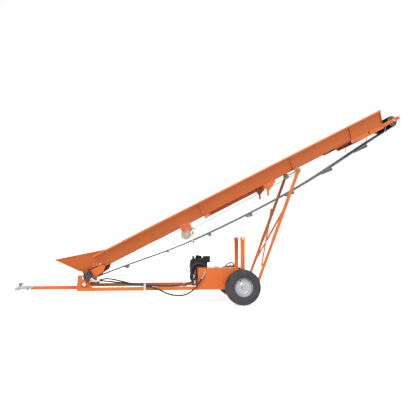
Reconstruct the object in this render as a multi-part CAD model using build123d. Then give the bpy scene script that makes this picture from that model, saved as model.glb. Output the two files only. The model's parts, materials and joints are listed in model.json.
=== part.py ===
from build123d import *
import math
import os

# Towable cleated-belt conveyor: an inclined open trough on a two-wheel trailer.
# Millimetres, +Z up, ground at Z = 0. The conveyor rises towards +X, the tongue points to -X,
# and -Y is the left side of the towed machine. Positions are given from the axle, and every
# sub-part is moved by AXLE_X when it is written, so that the origin is under the box's middle.

# ---- driving dimensions ----
AXLE_X = 356.9            # axle's place ahead of the middle of the whole object
WHEEL_R = 260.0           # tyre radius
WHEEL_Y = 500.0           # wheel centre plane
TYRE_W = 200.0
RIM_R = 140.0
STUB_R = 12.7             # stub axle radius
FIT = 0.05                # radial clearance of a running fit
GAP = 0.4                 # clearance beside moving pieces

RAIL = 50.0               # square tube of rails and tongue
RAIL_WALL = 4.0
RAIL_Y = 300.0
RAIL_Z = 232.0
RAIL_FRONT = -2398.0
RAIL_REAR = 290.0
NOSE_X = -3380.0          # front of the ball coupler
TONGUE_FRONT = -3100.0

LIFT_ANGLE = 27.4         # slope of the trough
TAIL_X = -2245.0          # drive roller axis
TAIL_Z = 430.0
PIVOT_X = -2296.0         # conveyor pivot on the trailer
PIVOT_Z = 309.0
PIVOT_R = 17.5

TROUGH_END = 5180.0       # trough length from the drive roller axis
SEAMS = (1900.0, 3490.0)  # joints between trough sections
STIFFENER_U = 4580.0
TROUGH_START = 150.0
SHEET = 3.0
FLANGE_V = 12.0           # underside of the bottom flange
FLANGE_IN = 262.0
FLANGE_OUT = 300.0
LIP_V = 222.0
LIP_IN = 418.0
LIP_OUT = 440.0
LIP_DROP = 200.0
PAN_TOP = 56.0
FLARE = (LIP_IN - FLANGE_OUT) / (LIP_V - FLANGE_V)

BELT_W = 500.0
BELT_T = 12.0
DRIVE_R = 57.0
HEAD_U = 5387.0
HEAD_V = -20.0
HEAD_R = 77.0
CLEAT_H = 46.0
CLEAT_SPACING = 710.0

LEG_X = 231.0             # foot pin of the lift legs
LEG_Z = 235.0
LEG_LENGTH = 1931.0
LEG_LEAN = 20.98          # lean of the legs from upright, towards the head
LEG_Y = 350.0
LEG_TUBE = 40.0
BRACE_LOW = 340.0         # ends of the cross braces, up the legs from the foot pin
BRACE_HIGH = 1314.0

TANK_X = (-640.0, -46.0)
TANK_Y = (-300.0, -60.0)
TANK_Z = (257.0, 524.0)
POST_X = 41.0
POST_Y = 280.0
POST_TOP = 990.0

HOSE_D = 22.0

TROUGH = Location((TAIL_X, 0, TAIL_Z), (0, -LIFT_ANGLE, 0))
LEG = Location((LEG_X, 0, LEG_Z), (0, LEG_LEAN, 0))
WRITTEN = []


# ---- helpers ----
def save(name, shape):
    """Write one sub-part, moved into the object's frame."""
    solids = shape if isinstance(shape, list) else [shape]
    flat = [solid for item in solids for solid in item.solids()]
    moved = [Pos(AXLE_X, 0, 0) * solid for solid in flat]
    export_step(Compound(children=moved) if len(moved) > 1 else moved[0], f"parts/{name}.step")
    WRITTEN.append(name)


def placed(location, shapes):
    return [location * shape for shape in shapes]


def block(x0, x1, y0, y1, z0, z1):
    return Pos((x0 + x1) / 2, (y0 + y1) / 2, (z0 + z1) / 2) * Box(x1 - x0, y1 - y0, z1 - z0)


def rod(start, end, radius):
    """Round bar from one point to another."""
    a = Vector(*start)
    b = Vector(*end)
    plane = Plane(origin=a, z_dir=b - a)
    return extrude(plane * Circle(radius), (b - a).length)


def bar_y(x, z, radius, y0, y1):
    return rod((x, y0, z), (x, y1, z), radius)


def tube_y(x, z, outer, inner, y0, y1):
    return bar_y(x, z, outer, y0, y1) - bar_y(x, z, inner, y0 - 1, y1 + 1)


def square_tube(x0, x1, y, z, size, wall):
    outer = block(x0, x1, y - size / 2, y + size / 2, z - size / 2, z + size / 2)
    inner = size / 2 - wall
    return outer - block(x0 - 1, x1 + 1, y - inner, y + inner, z - inner, z + inner)


def upright_tube(x, y, z0, z1, size, wall):
    outer = block(x - size / 2, x + size / 2, y - size / 2, y + size / 2, z0, z1)
    inner = size / 2 - wall
    return outer - block(x - inner, x + inner, y - inner, y + inner, z0 - 1, z1 - wall)


def plate_y(points, y0, y1):
    """Flat plate with its outline in X and Z, from y0 to y1."""
    outline = make_face(Plane.XZ * Polyline(*points, close=True))
    return Pos(0, y0, 0) * extrude(outline, y1 - y0, dir=(0, 1, 0))


def prism_x(points, x0, x1):
    """Bar with its section in Y and Z, from x0 to x1."""
    outline = make_face(Plane.YZ * Polyline(*points, close=True))
    return Pos(x0, 0, 0) * extrude(outline, x1 - x0, dir=(1, 0, 0))


def folded(points, thickness):
    """Section of a folded sheet: the points, and the same line moved to its left."""
    moved = []
    for i, (x, y) in enumerate(points):
        before = points[max(i - 1, 0)]
        after = points[min(i + 1, len(points) - 1)]
        turns = []
        for a, b in ((before, (x, y)), ((x, y), after)):
            length = math.hypot(b[0] - a[0], b[1] - a[1])
            if length > 0:
                turns.append((-(b[1] - a[1]) / length, (b[0] - a[0]) / length))
        nx = sum(t[0] for t in turns) / len(turns)
        ny = sum(t[1] for t in turns) / len(turns)
        scale = thickness / (nx * nx + ny * ny)
        moved.append((x + nx * scale, y + ny * scale))
    return points + moved[::-1]


def hexagon(at, direction, across, height):
    plane = Plane(origin=at, z_dir=direction)
    return extrude(plane * RegularPolygon(across / math.sqrt(3), 6), height)


def bolts(specs):
    """Hex bolts with nuts. Each spec is point under the head, shank direction, grip, diameter."""
    made = []
    for at, direction, grip, size in specs:
        p = Vector(*at)
        d = Vector(*direction).normalized()
        made.append(hexagon(p, -d, 1.6 * size, 0.65 * size) + rod(p, p + d * (grip + 1.1 * size), size / 2))
        nut = hexagon(p + d * grip, d, 1.6 * size, 0.8 * size)
        made.append(nut - rod(p + d * (grip - 1), p + d * (grip + 2 * size), size / 2 + FIT))
    return made


def holes(specs):
    """Clearance holes for the same bolts."""
    made = []
    for at, direction, grip, size in specs:
        p = Vector(*at)
        d = Vector(*direction).normalized()
        made.append(rod(p - d * size / 2, p + d * (grip + size / 2), size / 2 + GAP))
    return made


def drilled(shape, specs):
    for hole in holes(specs):
        shape = shape - hole
    return shape


def mirrored(specs):
    """The same bolts on the other side of the machine."""
    return [((p[0], -p[1], p[2]), (d[0], -d[1], d[2]), grip, size) for p, d, grip, size in specs]


def both_sides(shape):
    return [shape, mirror(shape, Plane.XZ)]


def wall_y(v, inside=0.0):
    """Outer face of the flared trough wall at height v, or a parallel face further in."""
    return FLANGE_OUT + FLARE * (v - FLANGE_V) - inside * math.hypot(1, FLARE)


def slanted(points, half_width):
    """Flat plate across the machine; each point is u, v and the half width comes from a function."""
    corners = [(u, -half_width(v), v) for u, v in points] + [(u, half_width(v), v) for u, v in points[::-1]]
    return make_face(Polyline(*corners, close=True))


# ---- trailer ----
def pivot_bolts():
    """Bolts of the two flange bearings, on the outside of the left pivot plate."""
    specs = []
    for turn in (45, 135, 225, 315):
        x = PIVOT_X + 48 * math.cos(math.radians(turn))
        z = PIVOT_Z + 38 * math.sin(math.radians(turn))
        specs.append(((x, -345, z), (0, 1, 0), 20, 10))
    return specs


def make_frame_tubes():
    half = RAIL / 2
    rails = both_sides(square_tube(RAIL_FRONT, RAIL_REAR, RAIL_Y, RAIL_Z, RAIL, RAIL_WALL))
    foot_hole = bar_y(LEG_X, LEG_Z, 8 + GAP, -400, 400)
    rails = [rail - foot_hole for rail in rails]
    across = RAIL_Y - half
    members = []
    for x in (RAIL_FRONT + half, -830.0, 15.0, RAIL_REAR - half - 100):
        member = square_tube(-across, across, 0, RAIL_Z, RAIL, RAIL_WALL)
        members.append(Location((x, 0, 0)) * member.rotate(Axis.Z, 90))
    tongue = square_tube(TONGUE_FRONT, RAIL_FRONT - 6, 0, RAIL_Z - 4, RAIL, RAIL_WALL)
    tongue = drilled(tongue, coupler_bolts())
    front = block(RAIL_FRONT - 6, RAIL_FRONT, -333, 333, RAIL_Z - half, 330)
    save("frame_tubes", rails + members + [tongue, front])


def make_pivot_plates():
    outline = [(-2398, 207), (-2398, 439), (-2326, 439), (-2326, 385), (-2296, 360), (-2232, 352),
               (-2222, 300), (-2180, 258), (-2180, 207)]
    plate = plate_y(outline, -333, -325)
    plate = drilled(plate - bar_y(PIVOT_X, PIVOT_Z, 24, -340, -320), pivot_bolts())
    save("pivot_plates", both_sides(plate))


def make_pivot_bearings():
    flange = plate_y([(PIVOT_X - 62, PIVOT_Z - 42), (PIVOT_X - 62, PIVOT_Z + 42), (PIVOT_X + 62, PIVOT_Z + 42),
                      (PIVOT_X + 62, PIVOT_Z - 42)], -345, -333)
    housing = flange + bar_y(PIVOT_X, PIVOT_Z, 32, -357, -333)
    housing = drilled(housing - bar_y(PIVOT_X, PIVOT_Z, PIVOT_R + FIT, -360, -330), pivot_bolts())
    shaft = bar_y(PIVOT_X, PIVOT_Z, PIVOT_R, -362, 362)
    save("pivot_bearings", both_sides(housing) + [shaft])


def coupler_bolts():
    """Two upright and two crosswise bolts that hold the coupler on the tongue."""
    top = RAIL_Z + 26
    specs = [((x, 0, top), (0, 0, -1), 60, 12) for x in (-3202, -3132)]
    return specs + [((x, -34, RAIL_Z - 4), (0, 1, 0), 68, 10) for x in (-3184, -3114)]


def make_coupler():
    tongue_z = RAIL_Z - 4
    half = RAIL / 2
    channel = block(-3235, -3095, -34, 34, tongue_z - half, tongue_z + half + 5)
    channel -= block(-3240, -3090, -half - 1, half + 1, tongue_z - half - 1, tongue_z + half + 0.3)
    channel = block(-3235, TONGUE_FRONT - 1, -half, half, tongue_z - 12, tongue_z + half) + channel
    neck = plate_y([(-3350, 236), (-3300, 262), (-3220, 258), (-3220, 216), (-3350, 208)], -30, 30)
    socket = Pos(-3345, 0, 214) * Cylinder(35, 48)
    body = channel + neck + socket
    body -= Pos(-3345, 0, 205) * Cylinder(25.8, 32)
    body -= Pos(-3345, 0, 221) * Sphere(14)
    body = drilled(body, coupler_bolts())
    slot = block(-3318, -3280, -8 - GAP, 8 + GAP, 240, 280)
    ear = plate_y([(-3326, 244), (-3326, 282), (-3304, 282), (-3300, 258)], -20, -15.5)
    ears = both_sides(ear - bar_y(LATCH_X, LATCH_Z, 4 + FIT, -40, 40))
    save("coupler_body", body - slot + ears[0] + ears[1])


LATCH_X = -3314.0         # cross pin of the coupler latch
LATCH_Z = 274.0


def make_coupler_latch():
    """Latch block and its lever, which turn together on a cross pin above the neck."""
    wedge = plate_y([(-3322, 268), (-3318, 304), (-3282, 302), (-3270, 285), (-3276, 266)], -14, 14)
    lever = rod((-3290, 0, 290), (-3228, 0, 306), 7)
    pin = bar_y(LATCH_X, LATCH_Z, 4, -23, 23)
    save("coupler_latch", wedge + lever + pin)


def foot_bolts():
    return [((LEG_X, -378, LEG_Z), (0, 1, 0), 105, 16)]


def make_frame_bolts():
    specs = coupler_bolts() + pivot_bolts() + mirrored(pivot_bolts())
    specs += foot_bolts() + mirrored(foot_bolts())
    save("frame_bolts", bolts(specs))


def make_stub_axles():
    plate = block(-45, 45, -335, -325, 205, 315)
    stub = plate + bar_y(0, WHEEL_R, STUB_R, -578, -335) + bar_y(0, WHEEL_R, 20, -425, -335)
    save("stub_axles", both_sides(stub))


def make_posts():
    half = 30.0
    post = upright_tube(POST_X, -POST_Y, RAIL_Z + RAIL / 2, POST_TOP, 2 * half, 4)
    hole = bar_y(POST_X, POST_TOP - 20, 6 + GAP, -400, 400)
    cross_rod = bar_y(POST_X, POST_TOP - 20, 6, -POST_Y - half - 6, POST_Y + half + 6)
    heads = [bar_y(POST_X, POST_TOP - 20, 13, y, y + 6) for y in (-POST_Y - half - 7, POST_Y + half + 1)]
    cross_rod = cross_rod + heads[0] + heads[1]
    save("posts", [post - hole for post in both_sides(post)] + [cross_rod])


# ---- wheels ----
def wheel_at(side):
    return Location((0, side * WHEEL_Y, WHEEL_R))


def ring(points, side):
    """Turned part: points are radius and distance outwards from the wheel's centre plane."""
    profile = make_face(Plane.XY * Polyline(*[(r, side * y) for r, y in points], close=True))
    return wheel_at(side) * revolve(profile, Axis.Y)


def make_wheel(side, name):
    half = TYRE_W / 2
    tyre = [(RIM_R - 6, 78), (RIM_R + 12, 84), (185, half - 2), (205, half), (228, half - 4), (248, 80), (257, 60),
            (WHEEL_R, 30), (WHEEL_R, -30), (257, -60), (248, -80), (228, 4 - half), (205, -half), (185, 2 - half),
            (RIM_R + 12, -84), (RIM_R - 6, -78), (RIM_R - 6, -70), (190, -86), (236, -66), (248, 0), (236, 66),
            (190, 86), (RIM_R - 6, 70)]
    save(f"tyre_{name}", ring(tyre, side))
    barrel = [(RIM_R, 86), (RIM_R, 80), (RIM_R - 8, 78), (RIM_R - 8, 66), (118, 50), (118, -60), (RIM_R - 8, -70),
              (RIM_R - 8, -78), (RIM_R, -80), (RIM_R, -86), (RIM_R - 12, -82), (RIM_R - 12, -68), (114, -58),
              (114, 28), (96, 38), (60, 44), (31, 44), (31, 49), (62, 49), (98, 43), (113, 48), (127, 66),
              (127, 82)]
    hub = [(STUB_R + 8, -58), (30.6, -58), (30.6, 60), (STUB_R + 8, 60)]
    bearing = [(STUB_R + FIT, -55), (STUB_R + 7.8, -55), (STUB_R + 7.8, -40), (STUB_R + FIT, -40)]
    outer = [(r, y + 95) for r, y in bearing]
    cap = [(0, 88), (22, 84), (24, 60.4), (30, 60.4), (30, 64), (26, 66), (24, 87), (0, 92)]
    rim = [ring(points, side) for points in (barrel, hub, bearing, outer, cap)]
    stem = wheel_at(side) * rod((-40, side * 50, 88), (-40, side * 74, 88), 5)
    save(f"rim_{name}", rim + [stem])


# ---- power pack ----
def make_tank():
    x0, x1 = TANK_X
    y0, y1 = TANK_Y
    z0, z1 = TANK_Z
    shell = block(x0, x1, y0, y1, z0, z1)
    shell = fillet(shell.edges().filter_by(Axis.Z), 6)
    shell -= block(x0 + SHEET, x1 - SHEET, y0 + SHEET, y1 - SHEET, z0 + SHEET, z1 - SHEET)
    shell -= Pos(FILLER[0], FILLER[1], z1) * Cylinder(26, 20)
    neck = Pos(FILLER[0], FILLER[1], z1 + 2) * (Cylinder(32, 20) - Cylinder(24, 30))
    save("hydraulic_tank", shell + neck - Pos(FILLER[0], FILLER[1], z1) * Cylinder(24, 40))


FILLER = (-354.0, -215.0)


def make_filler_cap():
    """Cap over the filler neck, held by a quarter turn."""
    x, y = FILLER
    top = TANK_Z[1]
    cap = Pos(x, y, top + 31.5) * Cylinder(35, 30)
    cap -= Pos(x, y, top + 22) * Cylinder(32 + GAP, 23)
    cap += Pos(x, y, top + 49) * Cylinder(26, 6)
    save("filler_cap", cap)


SIDE_PORT = (-543.0, 452.0)       # X and Z of the port on the tank's left face
TOP_PORT = (-232.0, -88.0)        # X and Y of the port on the tank's top
VALVE = (-682.0, -190.0)          # X and Y of the control valve
VALVE_PIN_Z = 441.0


def make_tank_ports():
    x, z = SIDE_PORT
    elbow = rod((x, -300, z), (x, -322, z), 13) + Pos(x, -323, z) * Sphere(14)
    elbow += fitting(HOSE_RETURN[0], HOSE_RETURN[1], 48, 12)
    x, y = TOP_PORT
    top = TANK_Z[1]
    slant = fitting(HOSE_TANK[0], HOSE_TANK[1], 56, 12) + Pos(x, y, top + 3) * Cylinder(20, 6)
    save("tank_ports", [elbow, slant - block(*TANK_X, *TANK_Y, *TANK_Z)])


def make_engine():
    base = block(-800, -420, -60, 330, 257, 265)
    save("engine_plate", base)
    crankcase = block(-745, -495, 20, 220, 265, 440)
    crankcase = fillet(crankcase.edges().filter_by(Axis.Y), 30)
    cylinder = block(-735, -640, 40, 200, 430, 640)
    fins = [block(-745, -630, 30, 210, z, z + 4) for z in range(470, 630, 16)]
    for fin in fins:
        cylinder += fin
    save("engine_crankcase", crankcase + cylinder)
    shroud = Pos(-610, -14, 470) * Rot(90, 0, 0) * Cylinder(138, 66)
    shroud += block(-748, -500, -40, 19, 470, 655)
    shroud = shroud - block(-800, -400, -60, 30, 200, 330)
    recess = Pos(-610, -52, 470) * Rot(90, 0, 0) * Cylinder(96, 24)
    save("engine_shroud", shroud - recess + Pos(-610, -30, 470) * Rot(90, 0, 0) * Cylinder(90, 20))
    tank = block(-675, -545, 60, 250, 645, 700)
    tank = fillet(tank.edges(), 18)
    tank -= Pos(-620, 150, 700) * Cylinder(22, 30)
    save("engine_fuel_tank", tank)
    muffler = fillet(block(-600, -486, 226, 292, 450, 600).edges(), 14)
    muffler += rod((-650, 210.2, 540), (-650, 236, 540), 12) + rod((-650, 236, 540), (-590, 250, 540), 12)
    cleaner = fillet(block(-560, -440, -50, 55, 610, 700).edges(), 12) - block(-800, -499, -60, 60, 560, 656)
    save("engine_muffler", [muffler])
    save("engine_air_cleaner", [cleaner])


def make_engine_controls():
    cap = Pos(-620, 150, 697) * Cylinder(21, 18) + Pos(-620, 150, 703) * Cylinder(27, 6)
    save("fuel_cap", cap)
    handle = fillet(block(-742, -702, -66, -48, 585, 603).edges(), 6) + rod((-722, -48, 594), (-722, -40.5, 594), 3)
    save("recoil_handle", handle)
    hub = bar_y(-755, 440, 7.5, -12, 12)
    save("choke_lever", hub + Pos(-781.5, -6, 468.5) * Rot(0, 47, 0) * Box(78, 10, 12))


def make_pump():
    bell = Pos(-610, 250, 372) * Rot(90, 0, 0) * Cylinder(62, 58)
    pump = block(-660, -560, 279, 375, 322, 422)
    port = fitting(HOSE_TANK[-1], HOSE_TANK[-2], 24, 13)
    save("hydraulic_pump", [bell, fillet(pump.edges().filter_by(Axis.Y), 12) + port])


def make_control_valve():
    x, y = VALVE
    body = block(x - 30, x + 30, y - 35, y + 35, 320, 432) + block(x - 22, x + 22, y - 22, y + 22, 265, 320)
    body += fitting(HOSE_PRESSURE[0], HOSE_PRESSURE[1], 34, 13)
    for ear_y in (y - 15, y + 10):
        body += block(x - 8, x + 8, ear_y, ear_y + 5, 432, 448) - bar_y(x, VALVE_PIN_Z, 4 + FIT, y - 30, y + 30)
    bracket = block(x - 45, x + 38, y - 40, -60.5, 257.5, 264.6)
    save("control_valve", [body, bracket])
    lever = rod((x, y, VALVE_PIN_Z), (x + 4, y - 4, 468), 3.6) + Pos(x + 5, y - 5, 476) * Sphere(13)
    save("valve_lever", lever + bar_y(x, VALVE_PIN_Z, 4, y - 17, y + 17))


# ---- hoses ----
STRAP_X = -1430.0

# Each route is a list of points that the hose bends around.
HOSE_RETURN = [(-569, -330.5, 408.5), (-600, -337, 357), (-652, -360, 275), (-742, -370, 187), (-845, -372, 139),
               (-955, -372, 131), (-1075, -371, 153), (-1190, -368, 208), (-1315, -354, 258),
               (-1450, -341, 281), (-1605, -341, 307), (-1762, -347, 348), (-1915, -358, 386),
               (-2035, -362, 388), (-2118, -362, 357)]
HOSE_PRESSURE = [(-668, -244, 400), (-681, -267, 378), (-713, -288, 344), (-775, -304, 303), (-865, -315, 279),
                 (-990, -320, 271), (-1150, -321, 270), (-1290, -319, 275), (-1440, -315, 282),
                 (-1620, -314, 300), (-1800, -317, 326), (-1975, -324, 349), (-2075, -330, 356),
                 (-2160, -335, 352)]
HOSE_TANK = [(-190, -83, 553), (-156, -78, 578), (-108, -58, 596), (-62, -16, 585), (-40, 42, 549),
             (-44, 104, 508), (-84, 164, 479), (-160, 214, 463), (-262, 254, 460), (-366, 286, 446),
             (-448, 310, 412), (-502, 324, 386), (-540, 327, 380)]


def hose(name, points):
    """Round hose of straight runs joined by tangent arcs, each as large as its runs allow."""
    vectors = [Vector(*p) for p in points]
    radii = []
    for a, b, c in zip(vectors, vectors[1:], vectors[2:]):
        turn = math.radians((b - a).get_angle(c - b))
        shorter = min((b - a).length, (c - b).length)
        radii.append(0.45 * shorter / math.tan(turn / 2))
    path = FilletPolyline(*vectors, radius=radii)
    first = Plane(origin=vectors[0], z_dir=vectors[1] - vectors[0])
    tube = sweep(first * Circle(HOSE_D / 2), path=path)
    section = math.pi * HOSE_D ** 2 / 4
    print(name, "length", round(path.length), "volume ratio", round(tube.volume / section / path.length, 4))
    print("  radii", [round(r) for r in radii], "solids", len(tube.solids()))
    runs = [(b - a).length for a, b in zip(vectors, vectors[1:])]
    print("  runs", [round(r) for r in runs])
    save(name, tube)


def fitting(start, following, length, radius):
    """Straight end of a fitting that meets a hose squarely at its first point."""
    a = Vector(*start)
    d = (Vector(*following) - a).normalized()
    return rod(a - d * length, a, radius)


def make_hose_strap():
    loop = block(STRAP_X - 15, STRAP_X + 15, -360, -271, 203, 304)
    loop -= block(STRAP_X - 20, STRAP_X + 20, -357, -274.5, 206.5, 301)
    save("hose_strap", loop)


# ---- lift legs ----
def make_legs():
    half = LEG_TUBE / 2
    tube = upright_tube(0, -LEG_Y, -30, LEG_LENGTH + 26, LEG_TUBE, 3)
    tube -= bar_y(0, 0, 8 + GAP, -400, -300)
    tube -= bar_y(0, LEG_LENGTH, 10 + FIT, -400, -300)
    save("legs", placed(LEG, both_sides(tube)))
    near_low = (-36, -LEG_Y, BRACE_LOW)
    far_high = (-36, LEG_Y, BRACE_HIGH)
    outer = rod(near_low, far_high, 13)
    pins = [rod((-half - 0.2, y, z), (-54, y, z), 8) for _, y, z in (near_low, far_high)]
    inner = rod((0, LEG_Y, BRACE_LOW), (0, -LEG_Y, BRACE_HIGH), 13)
    for leg in both_sides(block(-30, 30, -LEG_Y - 30, -LEG_Y + half + 0.2, 0, LEG_LENGTH)):
        inner -= leg
    save("cross_braces", placed(LEG, [outer - pins[0] - pins[1], inner] + pins))


def make_support_rollers():
    """Two rollers with guide discs, and the axle across the leg tops, which turns with them."""
    tread = tube_y(0, LEG_LENGTH, 39, 10.2, -307.8, -264)
    disc = tube_y(0, LEG_LENGTH, 50, 10.2, -314, -308)
    collar = tube_y(0, LEG_LENGTH, 18, 10.2, -329.4, -314.2)
    axle = bar_y(0, LEG_LENGTH, 10, -384, 384)
    for y in (-380, 372):
        axle += bar_y(0, LEG_LENGTH, 17, y, y + 8)
    save("support_rollers", placed(LEG, both_sides(tread) + both_sides(disc) + both_sides(collar) + [axle]))


# ---- trough ----
def side_section():
    line = [(FLANGE_IN, FLANGE_V), (FLANGE_OUT, FLANGE_V), (LIP_IN, LIP_V), (LIP_OUT, LIP_V), (LIP_OUT, LIP_DROP)]
    return folded(line, SHEET)


def rib_section():
    low, high = 26, 198
    return [(wall_y(low) + 0.3, low), (wall_y(low) + 26, low), (wall_y(high) + 18, high), (wall_y(high) + 0.3, high)]


CROSS_BARS = (1992.0, 2977.0)


def seam_bolts():
    specs = []
    for seam in SEAMS:
        for v in (70, 190):
            specs.append(((seam - 7, -wall_y(v) - 12, v), (1, 0, 0), 14, 10))
    return specs


def hopper_bolts():
    """Bolts through the left trough wall and the hopper side behind it."""
    specs = []
    for u, v in ((229, 175), (188, 108), (403, 177)):
        normal = (0, math.cos(math.atan(FLARE)), math.sin(math.atan(FLARE)))
        specs.append(((u, -wall_y(v) - 0.3, v), (normal[0], normal[1], normal[2]), 6.8, 8))
    return specs


def flange_bolts():
    """Upright bolts through the left bottom flange into the pieces hung below it."""
    stations = [(u, 48.4) for u in CROSS_BARS] + [(u, 9.4) for u in (3105.0, 4950.0, 5150.0)]
    return [((u, -281, FLANGE_V + SHEET), (0, 0, -1), grip, 10) for u, grip in stations]


def make_trough_sides():
    cut = plate_y([(100, 0), (280, 0), (280, 45), (215, 88), (150, 88), (205, 222), (205, 240), (100, 240)],
                  200, 500)
    ends = [TROUGH_START, SEAMS[0] - 0.5, SEAMS[0] + 0.5, SEAMS[1] - 0.5, SEAMS[1] + 0.5, TROUGH_END]
    right = [prism_x(side_section(), ends[i], ends[i + 1]) for i in (0, 2, 4)]
    right[0] -= cut
    for side, name in ((1, "right"), (-1, "left")):
        panels = right if side > 0 else [mirror(panel, Plane.XZ) for panel in right]
        near = hopper_bolts() + flange_bolts() + winch_bolts()
        specs = mirrored(near) if side > 0 else near
        save(f"trough_sides_{name}", placed(TROUGH, [drilled(panel, specs) for panel in panels]))


def make_floor_pans():
    wide = wall_y(PAN_TOP - SHEET, SHEET) - 0.5
    first = block(78, 279, -302, 302, PAN_TOP - SHEET, PAN_TOP)
    first += block(278, SEAMS[0] - 0.5, -wide, wide, PAN_TOP - SHEET, PAN_TOP)
    second = block(SEAMS[0] + 0.5, SEAMS[1] - 0.5, -wide, wide, PAN_TOP - SHEET, PAN_TOP)
    third = block(SEAMS[1] + 0.5, TROUGH_END, -wide, wide, PAN_TOP - SHEET, PAN_TOP)
    save("floor_pans", placed(TROUGH, [first, second, third]))


def make_trough_ribs():
    """Joint flanges, back to back at each seam, and the plain stiffeners near the head."""
    ribs = []
    for seam in SEAMS:
        for u in (seam - 6.5, seam + 0.5):
            ribs.append(drilled(prism_x([(-y, z) for y, z in rib_section()], u, u + 6), seam_bolts()))
    for u in (STIFFENER_U, TROUGH_END - 8):
        ribs.append(prism_x([(-y, z) for y, z in rib_section()], u, u + 6))
    pairs = [piece for rib in ribs for piece in both_sides(rib)]
    save("trough_ribs", placed(TROUGH, pairs))


HOPPER_TIP = (-272.0, 416.0)
HOPPER_LOW = (-75.0, 114.0)


def make_hopper():
    rim_end = (430.0, LIP_V - 4)
    outline = [HOPPER_TIP, HOPPER_LOW, (-45, 90), (430, 90), rim_end]
    low, high = 80.0, 430.0
    strip = [(wall_y(low, SHEET + 0.3), low), (wall_y(high, SHEET + 0.3), high),
             (wall_y(high, 2 * SHEET + 0.3), high), (wall_y(low, 2 * SHEET + 0.3), low)]
    sheet = prism_x(strip, -300, 450) & plate_y(outline, 250, 600)
    rim = [(HOPPER_TIP[0], HOPPER_TIP[1]), rim_end, (rim_end[0], rim_end[1] - 16),
           (HOPPER_TIP[0], HOPPER_TIP[1] - 20)]
    bar = [(wall_y(low, 0), low), (wall_y(high, 0), high), (wall_y(high, SHEET + 0.3), high),
           (wall_y(low, SHEET + 0.3), low)]
    stiffener = prism_x(bar, -300, 210) & plate_y(rim, 250, 600)
    sides = both_sides(mirror(sheet + stiffener, Plane.XZ))
    sides = [drilled(sides[0], hopper_bolts()), drilled(sides[1], mirrored(hopper_bolts()))]
    save("hopper_sides", placed(TROUGH, sides))

    def inner(v):
        return wall_y(v, 2 * SHEET + 0.6)

    front = extrude(slanted([HOPPER_LOW, HOPPER_TIP], inner), -SHEET)
    save("hopper_front", placed(TROUGH, [front]))
    flap = plate_y([(-66, 116), (-63, 119), (-14, 72), (-17, 69)], -300, 300)
    save("hopper_flap", placed(TROUGH, [flap]))


SLOPE = math.radians(LIFT_ANGLE)
PIVOT_U = (PIVOT_X - TAIL_X) * math.cos(SLOPE) + (PIVOT_Z - TAIL_Z) * math.sin(SLOPE)
PIVOT_V = (PIVOT_Z - TAIL_Z) * math.cos(SLOPE) - (PIVOT_X - TAIL_X) * math.sin(SLOPE)


def tail_bolts():
    return [((u, -323, v), (0, 1, 0), 20, 10) for u, v in ((44, 44), (44, -44), (-44, 44), (-44, -44))]


def make_tail_plates():
    main = plate_y([(-59, 136), (-59, 30), (-20, -70), (54, -70), (216, -45), (272, 10), (272, 32), (205, 82),
                    (0, 84), (-35, 136)], -309, -303)
    reach = math.hypot(PIVOT_U, PIVOT_V)
    tilt = math.degrees(math.atan2(-PIVOT_V, -PIVOT_U))
    lug = Plane.XZ * Location((PIVOT_U / 2, PIVOT_V / 2), tilt) * SlotCenterToCenter(reach, 96)
    plate = main + Pos(0, -309, 0) * extrude(lug, 6, dir=(0, 1, 0))
    plate -= bar_y(PIVOT_U, PIVOT_V, PIVOT_R + FIT, -400, -200)
    plate -= bar_y(0, 0, 24, -400, -200)
    window = Pos(0, -320, 0) * extrude(Plane.XZ * Location((101, 66), -3) * SlotOverall(150, 16), 30, dir=(0, 1, 0))
    plate = drilled(plate - window, tail_bolts())
    boss = tube_y(PIVOT_U, PIVOT_V, 30, PIVOT_R + FIT, -324.4, -309)
    save("tail_plates", placed(TROUGH, both_sides(plate + boss)))


def make_tail_bearings():
    """Flange bearing of the drive shaft on the right tail plate."""
    housing = block(-62, 62, 309, 323, -62, 62)
    housing = fillet(housing.edges().filter_by(Axis.Y), 20) + bar_y(0, 0, 36, 309, 338)
    housing -= bar_y(0, 0, 17.5 + FIT, 300, 345)
    save("tail_bearings", placed(TROUGH, [drilled(housing, mirrored(tail_bolts()))]))


def make_motor():
    """Hydraulic motor on the left tail plate, with its two port fittings."""
    flange = block(-62, 62, -323, -309, -62, 62)
    flange = fillet(flange.edges().filter_by(Axis.Y), 20)
    body = flange + bar_y(0, 0, 50, -364, -309) + bar_y(0, 0, 61, -414, -362)
    body = drilled(body - bar_y(0, 0, 17.5 + FIT, -380, -300), tail_bolts())
    motor = [TROUGH * body]
    for route, start in ((HOSE_PRESSURE, (-2218, -376, 396)), (HOSE_RETURN, (-2196, -402, 404))):
        straight = fitting(route[-1], route[-2], 26, 12)
        a = Vector(*route[-1])
        bend = a - (Vector(*route[-2]) - a).normalized() * 26
        port = rod(start, bend, 11) + Pos(*bend) * Sphere(12.5) + straight
        motor.append(port - motor[0])
    save("hydraulic_motor", motor)


def make_drive_roller():
    drum = tube_y(0, 0, DRIVE_R - GAP, 50, -262, 262)
    ends = [tube_y(0, 0, 50, 17.5, y, y + 6) for y in (-256, 250)]
    shaft = bar_y(0, 0, 17.5, -376, 341)
    save("drive_roller", placed(TROUGH, [drum + ends[0] + ends[1] + shaft]))


def head_bolts():
    specs = [((5490, -302, -16), (0, 1, 0), 10, 10), ((5218, -302, -20), (0, 1, 0), 10, 10)]
    return specs + [((u, -302, v), (0, 1, 0), 10, 10) for u, v in ((4618, -8), (4680, -22))]


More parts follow.
